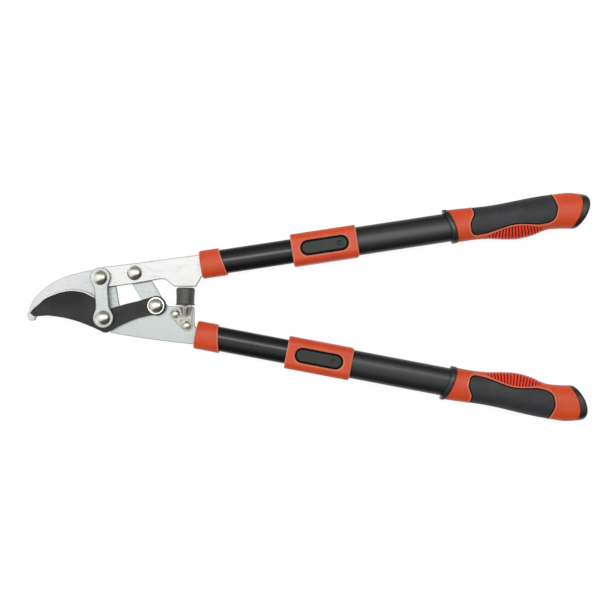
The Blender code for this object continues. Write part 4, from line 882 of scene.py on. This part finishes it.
def make_leaf_spring(name, place):
    """The bowed strip under the button's grip end."""
    node = name + "_button_spring"
    start, end, width, _ = extent_of(node, place)
    low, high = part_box(node)
    foot, rise = low.z - AXIS_HEIGHT + LEAF_STRIP / 2, high.z - low.z - LEAF_STRIP
    rings = []
    for k in range(LEAF_STEPS + 1):
        share = 2 * k / LEAF_STEPS - 1
        middle = foot + rise * (1 - share ** 2)
        narrower = LEAF_TIP_NARROWER * max(0.0, abs(share) - 1 + LEAF_TIP) / LEAF_TIP
        rings.append([((start + end) / 2 + share * (end - start) / 2, y, middle + z) for y, z in rounded_box_section(
            width - 2 * narrower, -LEAF_STRIP / 2, LEAF_STRIP / 2, LEAF_CORNER, LEAF_CORNER, 3)])
    piece = finished(node + "_leaf", skinned(rings), "spring_steel", node, place)
    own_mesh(piece)


# Grips


def grip_tables():
    """The grip's reaches sampled finely between the stations, with the slopes of a smooth run."""
    stations, reaches = GRIP_STATIONS[:, 0], GRIP_STATIONS[:, 1:]
    slopes = np.gradient(reaches, stations, axis=0)
    slopes[1:-1] = (reaches[2:] - reaches[:-2]) / (stations[2:] - stations[:-2])[:, None]
    fine = np.linspace(stations[0], stations[-1], GRIP_SAMPLES)
    index = np.clip(np.searchsorted(stations, fine) - 1, 0, len(stations) - 2)
    span = (stations[index + 1] - stations[index])[:, None]
    share = (fine - stations[index])[:, None] / span
    return fine, smooth_run(reaches[index], slopes[index] * span, reaches[index + 1], slopes[index + 1] * span, share)


FINE_STATIONS, FINE_REACHES = grip_tables()


# Surfaces across the grip give a station for each distance outwards


def slanted(start, slant):
    """A surface that slants and bulges as the grip's ring does."""
    return lambda across: (start - slant * across
                           + RING_BEND * np.maximum(0.0, 1.0 - (across / RING_BEND_REACH) ** 2))


def domed(crown, curve, crown_side):
    """A surface that is domed as the grip's cap is, with its crown to one side."""
    return lambda across: crown - curve * (crown_side - across) ** 2


def between(start, end, share):
    return lambda across: start(across) * (1 - share) + end(across) * share


def shifted(surface, amount):
    return lambda across: surface(across) + amount


RING_FRONT = slanted(1.4 * MM, 0.148)
RING_BACK = slanted(7.5 * MM, 0.186)
CAP_SEAM = domed(163.2 * MM, 14.9, 9.6 * MM)
CAP_END = domed(172.9 * MM, 19.4, 7.2 * MM)


def grip_skin(side, levels, sides):
    """Rings of points where the grip's skin, moved in by each level's inset, meets the level's surface."""
    angles = math.tau * np.arange(sides) / sides
    cosine, sine = (np.sign(wave) * np.abs(wave) ** (2 / GRIP_ROUNDNESS) for wave in (np.cos(angles), np.sin(angles)))
    rings = []
    for surface, fall in levels:
        across = np.zeros(sides)
        for _ in range(GRIP_ROUNDS):
            outwards, inwards, depth = (np.interp(surface(across), FINE_STATIONS, row) for row in FINE_REACHES.T)
            across = (np.where(cosine > 0, outwards, inwards) - fall) * cosine
        rings.append(np.stack([surface(across), side * across, (depth - fall) * sine], axis=1))
    return rings


def round_corners(corners):
    """An outline with an arc of its radius at each corner."""
    outline = []
    for before, (x, y, radius), after in around(corners):
        corner = Vector((x, y))
        back, ahead = Vector(before[:2]) - corner, Vector(after[:2]) - corner
        half = math.tan(back.angle(ahead) / 2)
        reach = min(radius / half, CORNER_SHARE * back.length, CORNER_SHARE * ahead.length)
        first, last = corner + back.normalized() * reach, corner + ahead.normalized() * reach
        centre = corner + ((first + last) / 2 - corner).normalized() * math.hypot(reach, reach * half)
        start = math.atan2(first.y - centre.y, first.x - centre.x)
        turn = math.atan2(last.y - centre.y, last.x - centre.x) - start
        turn = (turn + math.pi) % math.tau - math.pi
        outline += arc(centre, reach * half, start, turn, max(1, math.ceil(abs(turn) / CORNER_STEP)))
    return outline


def pad_distance(x, y, outline):
    """Signed distance to the pad's outline, positive inside it."""
    nearest = np.full(len(x), np.inf)
    inside = np.zeros(len(x), bool)
    for (ax, ay), (bx, by) in zip(outline, np.roll(outline, -1, axis=0)):
        dx, dy = bx - ax, by - ay
        length = dx * dx + dy * dy
        if length < TINY ** 2:
            continue
        t = np.clip(((x - ax) * dx + (y - ay) * dy) / length, 0.0, 1.0)
        nearest = np.minimum(nearest, np.hypot(x - ax - t * dx, y - ay - t * dy))
        if dy:
            inside ^= ((ay > y) != (by > y)) & (x < ax + (y - ay) / dy * dx)
    return np.where(inside, nearest, -nearest)


def rib_depths(x, across):
    """How much of the ribs' field a point of the skin is in, and its groove's depth: fanned over the swell."""
    half = RIB_COUNT * RIB_PITCH / 2
    away = (x - RIB_MIDDLE) / (1 - RIB_FAN * (across + RIB_SIDE) / RIB_FAN_REACH)
    field = np.clip((-across - RIB_TOP - RIB_FALL * (away / half) ** 2) / RIB_FADE, 0.0, 1.0)
    field = np.where(np.abs(away) < half, field * field * (3 - 2 * field), 0.0)
    wave = 0.5 - 0.5 * np.cos(math.tau * (away / RIB_PITCH + 0.5 * RIB_COUNT))
    return field, RIB_DEPTH * field * wave ** RIB_SHARPNESS


def split_along(work, values, level):
    """Splits faces along the line where a field has a level. Values follow the vertices and are extended."""
    cuts = []
    for edge in work.edges:
        a, b = edge.verts
        first, second = values[a] - level, values[b] - level
        if first * second < 0 and min(abs(first), abs(second)) > ON_SEAM:
            cuts.append((edge, a, first / (first - second)))
    fresh = set()
    for cut_edge in cuts:
        vert = bmesh.utils.edge_split(*cut_edge)[1]
        values[vert] = level
        fresh.add(vert)
    for face in list(work.faces):
        on = [vert for vert in face.verts if vert in fresh]
        if len(on) == 2:
            bmesh.utils.face_split(face, *on)


def grip_sheet(side):
    """The grip's skin from its ring to its cap, with narrow rows where the ribs are."""
    start = shifted(RING_BACK, GAP)
    first, last = start(-RIB_SIDE), CAP_SEAM(-RIB_SIDE)
    stations = [first]
    while stations[-1] < last:
        ribbed = abs(stations[-1] - RIB_MIDDLE) < (RIB_COUNT / 2 + RIB_MARGIN) * RIB_PITCH
        stations.append(stations[-1] + (RIB_PITCH / RIB_STEPS if ribbed else GRIP_STEP))
    shares = [(station - first) / (last - first) for station in stations[:-1]] + [1.0]
    work = skinned(grip_skin(side, [(between(start, CAP_SEAM, share), 0.0) for share in shares],
                             GRIP_SIDES), capped=False)
    bmesh.ops.recalc_face_normals(work, faces=work.faces)
    return work


def spots_of(work, side):
    """The vertices of the grip's skin, their stations and how far outwards they are."""
    verts = list(work.verts)
    return verts, np.array([v.co.x for v in verts]), np.array([v.co.y * side for v in verts])


def grip_shells(side, name, place):
    """The core with its ribs and the soft pad, as two shells of one fine skin with a rounded seam between. The core's
    lip by the seam takes a painted highlight, the pad's edge along the seam painted shade, and the ribbed field a
    copy of the red with painted light and shade.
    """
    work = grip_sheet(side)
    verts, x, across = spots_of(work, side)
    values = dict(zip(verts, pad_distance(x, across, np.array(round_corners(PAD_CORNERS)) * MM)))
    for level in SEAM_LEVELS:
        split_along(work, values, level * MM)
    work.normal_update()
    verts, x, across = spots_of(work, side)
    away = np.array([values[v] for v in verts])
    share = np.clip(1 - away / PAD_SHOULDER, 0.0, 1.0)
    pad_falls = PAD_SUNK + (PAD_GROOVE - PAD_SUNK) * (1 - np.sqrt(1 - share ** 2))
    stretch, peak = CORE_LIP_SHAPE
    rise = CORE_LIP_RISE * np.sin(math.pi * np.clip(-away / CORE_LIP, 0.0, 1.0) ** stretch) ** peak
    groove_wall = np.clip(1 + away / GROOVE_WALL, 0.0, 1.0) ** 2
    ribbed, grooves = rib_depths(x, across)
    falls = np.where(away > -ON_SEAM, pad_falls, PAD_GROOVE * groove_wall - rise + grooves)
    falls = np.where(np.abs(away) <= ON_SEAM, PAD_GROOVE, falls)
    for vert, normal, fall in zip(verts, [v.normal.copy() for v in verts], falls):
        vert.co -= normal * fall
    ribbed = dict(zip(verts, ribbed))
    work.faces.index_update()
    pad_faces = set()
    for face in work.faces:
        depth = sum(values[v] for v in face.verts) / len(face.verts)
        if depth > 0:
            pad_faces.add(face.index)
        if -CORE_LIP_HIGHLIGHT[1] < depth < -CORE_LIP_HIGHLIGHT[0] or 0 < depth < PAD_SEAM_SHADE:
            face.material_index = 1
        elif depth < 0 and min(ribbed[v] for v in face.verts) > RIB_PAINTED_LIGHT_FROM:
            face.material_index = 2
    skin = mesh_of("skin", work)
    for kind, finishes, slot in (("core", "red_plastic pale_red rib_red", "red_plastic"),
                                 ("pad", "soft_black seam_black", "soft_black")):
        part = bmesh.new()
        part.from_mesh(skin)
        bmesh.ops.delete(part, geom=[f for f in part.faces if (f.index in pad_faces) != (kind == "pad")],
                         context="FACES")
        node = f"{name}_grip_{kind}"
        piece = finished(node + "_shell", part, finishes, node, place, GRIP_SHARP)
        wall = piece.modifiers.new("wall", "SOLIDIFY")
        wall.thickness = SKIN
        wall.offset = -1.0
    bpy.data.meshes.remove(skin)


def grip_ends(side, name, place):
    """The slanted front ring and the end cap, with rounded rims."""
    roll = [(RING_ROLL * (1 - c), RING_ROLL * (1 - s) - RING_PROUD) for s, c in quarter(4)]
    levels = [(shifted(RING_FRONT, shift), fall) for shift, fall in roll]
    levels += [(shifted(RING_BACK, -shift), fall) for shift, fall in reversed(roll)]
    rings = grip_skin(side, levels, GRIP_END_SIDES)
    bore = oval(0.0, *bore_for(name + "_outer_tube", place), sides=GRIP_END_SIDES)
    rings += [[(surface(y), side * y, z) for _, y, z in bore] for surface in (RING_BACK, RING_FRONT)]
    finished(name + "_grip_band", skinned(rings, closed=True), "black_plastic",
             name + "_grip_ring", place)
    start, last = shifted(CAP_SEAM, GAP), shifted(CAP_END, -CAP_ROUNDING)
    levels = [(start, CAP_SEAM_ROLL[1]), (shifted(start, CAP_SEAM_ROLL[0]), 0.0)]
    levels += [(between(start, last, share), 0.0) for share in CAP_ROWS]
    levels += [(shifted(last, CAP_ROUNDING * s), CAP_ROUNDING * (1 - c)) for s, c in quarter(8, 1)]
    finished(name + "_grip_end", skinned(grip_skin(side, levels, GRIP_END_SIDES)), "black_plastic",
             name + "_end_cap", place, CAP_SHARP)


# Head


def make_blade():
    """The coated blade: its edge is ground from the front in a rounded run, and the ground strip is bare steel,
    painted near-white as a highlight.
    """
    node = "cutting_blade"
    low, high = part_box(node)
    outer, *holes = [fine_curve(loop) for loop in section(node, low.z + BLADE_SECTION)]
    shoulder = min(range(len(outer)), key=lambda i: (outer[i] - Vector(BLADE_SHOULDER)).length)
    outer = outer[shoulder:] + outer[:shoulder]
    tip = min(range(len(outer)), key=lambda i: outer[i].x)
    run = [0.0]
    for before, after in zip(outer[:tip], outer[1:tip + 1]):
        run.append(run[-1] + (after - before).length)
    ground = [BEVEL_WIDTH * max(0.0, min(1.0, s / BEVEL_ENDS[0], (run[-1] - s) / BEVEL_ENDS[1])) for s in run]
    ground += [0.0] * (len(outer) - len(ground))
    nearness = [max(0.0, 1.0 - (point - outer[tip]).length / BLADE_TIP_RUN) for point in outer]
    outer = [point + Vector(BLADE_TIP_DRAWN) * near ** 2 for point, near in zip(outer, nearness)]
    rise = high.z - BLADE_RIM - low.z - EDGE_LAND
    steps = [(low.z, EDGE_BREAK, 0.0), (low.z + EDGE_LAND, 0.0, 0.0)]
    steps += [(low.z + EDGE_LAND + rise * s, 0.0, 1 - c) for s, c in quarter(BEVEL_STEPS, 1)]
    steps.append((high.z, BLADE_RIM, 1.0))
    levels = [([inset(outer, [g * share + fall for g in ground])] + [inset(hole, fall) for hole in holes], height)
              for height, fall, share in steps]
    work, sides = stacked(levels)
    for faces in sides[1:-1]:
        for index, face in enumerate(faces[:len(outer)]):
            face.material_index = int(min(ground[index - 1], ground[index]) > BARE_FROM)
    finished(node + "_ground", work, "coated_steel ground_steel", node, sharp=CRISP, level=True)


def make_head():
    plate("hook_plate", "hook_steel", edge=0.8 * MM)
    plate("lever_plate", "satin_steel", edge=1.1 * MM)
    plate("drive_link", "link_steel", edge=1.3 * MM)
    make_blade()
    for node in ("main_pivot_bolt", "blade_pivot_bolt", "link_upper_screw", "link_lower_screw",
                 "main_pivot_washer", "blade_pivot_washer", "blade_pivot_front_washer"):
        turned(node, "nickel")
    for side in ("left", "right"):
        turned("bracket_rivet_" + side, "rivet_nickel")
    turned("bumper_rubber", "bumper_black", axis=1)
    for node in ("bumper_stud", "bumper_nut"):
        turned(node, "zinc", axis=1)
    carried("bumper_bracket", "zinc", edge=0.4 * MM)
    for node in ("main_pivot_nut", "blade_pivot_nut"):
        carried(node, "zinc", edge=0.5 * MM)


def make_handle(side, name):
    place = handle_frame(name)
    make_ferrule(name, place)
    make_tubes(name, place)
    make_collar(name, place)
    make_button(name, place)
    grip = place @ Matrix.Translation((GRIP_START[name], 0.0, 0.0))
    grip_shells(side, name, grip)
    grip_ends(side, name, grip)
    for screw in ("_tang_screw", "_collar_screw"):
        turned(name + screw, "zinc")
    turned(name + "_lock_pin", "nickel")
    carried(name + "_glide_plug", "black_plastic")
    # The rocker pin is painted blackened: partly its finish, partly shade in the gap.
    carried(name + "_rocker_pin", "blackened_steel", edge=0.1 * MM)
    make_leaf_spring(name, place)


# Studio


def make_camera():
    camera = bpy.data.cameras.new("camera")
    camera.sensor_width = SENSOR
    camera.lens = SENSOR * VIEW_DISTANCE / VIEW_WIDTH
    camera.clip_end = VIEW_END
    holder = linked("camera", camera)
    holder.location = (*VIEW_CENTRE, AXIS_HEIGHT + VIEW_DISTANCE)
    holder.rotation_euler = (0.0, 0.0, VIEW_TURN)
    bpy.context.scene.camera = holder


def make_lamp():
    """A long soft strip overhead, aimed at the tool's middle."""
    lamp = bpy.data.lights.new("overhead strip", "AREA")
    lamp.shape = "RECTANGLE"
    lamp.size, lamp.size_y = LAMP_SIZE
    lamp.energy = LAMP_POWER
    holder = linked("overhead strip", lamp)
    holder.location = LAMP_PLACE
    holder.rotation_euler = (-Vector(LAMP_PLACE)).to_track_quat("-Z", "Y").to_euler()


def make_floor():
    """A pale floor that reads as white to the camera and to gloss, and still takes a faint shadow."""
    work = bmesh.new()
    bmesh.ops.create_grid(work, x_segments=1, y_segments=1, size=FLOOR_SIZE)
    floor = linked("floor", mesh_of("floor", work))
    floor.location.z = -FLOOR_DROP
    material = bpy.data.materials.new("floor")
    nodes = Nodes(material)
    nodes.tree.nodes.clear()
    ray = nodes.add("ShaderNodeLightPath", {}).outputs
    seen = nodes.maths("MAXIMUM", ray["Is Camera Ray"], ray["Is Glossy Ray"])
    seen = nodes.maths("MAXIMUM", seen, ray["Is Transmission Ray"])
    matt = nodes.add("ShaderNodeBsdfDiffuse", {"Color": FLOOR_COLOUR}).outputs[0]
    glow = nodes.add("ShaderNodeEmission", {"Strength": FLOOR_GLOW}).outputs[0]
    mix = nodes.add("ShaderNodeMixShader", {0: nodes.maths("MULTIPLY", seen, FLOOR_GLOW_SHARE), 1: matt, 2: glow})
    nodes.add("ShaderNodeOutputMaterial", {"Surface": mix.outputs[0]})
    floor.data.materials.append(material)


def make_world():
    """A soft room, brighter overhead than at the horizon and darker on three sides. The camera sees it as white."""
    world = bpy.data.worlds.new("studio")
    bpy.context.scene.world = world
    nodes = Nodes(world)
    nodes.tree.nodes.clear()
    direction = nodes.add("ShaderNodeTexCoord", {}).outputs["Generated"]
    height = nodes.add("ShaderNodeSeparateXYZ", {0: direction}).outputs["Z"]
    brightness = nodes.spread(height, SKY_LOW, SKY_HIGH, 0.0, SKY_TOP)
    for side, start, end, left in DARK_SIDES:
        dark = nodes.spread(nodes.dot(direction, side), 1.0, left, start, end)
        brightness = nodes.maths("MULTIPLY", brightness, dark)
    seen = nodes.add("ShaderNodeLightPath", {}).outputs["Is Camera Ray"]
    background = nodes.add("ShaderNodeBackground", {"Color": (1.0, 1.0, 1.0),
                                                    "Strength": nodes.mix(seen, brightness, 1.0, "FLOAT")})
    nodes.add("ShaderNodeOutputWorld", {"Surface": background.outputs[0]})


make_camera()
make_world()
make_floor()
make_lamp()
make_finishes()
make_head()
make_handle(1, "upper")
make_handle(-1, "lower")

bpy.context.scene.view_settings.view_transform = "Standard"
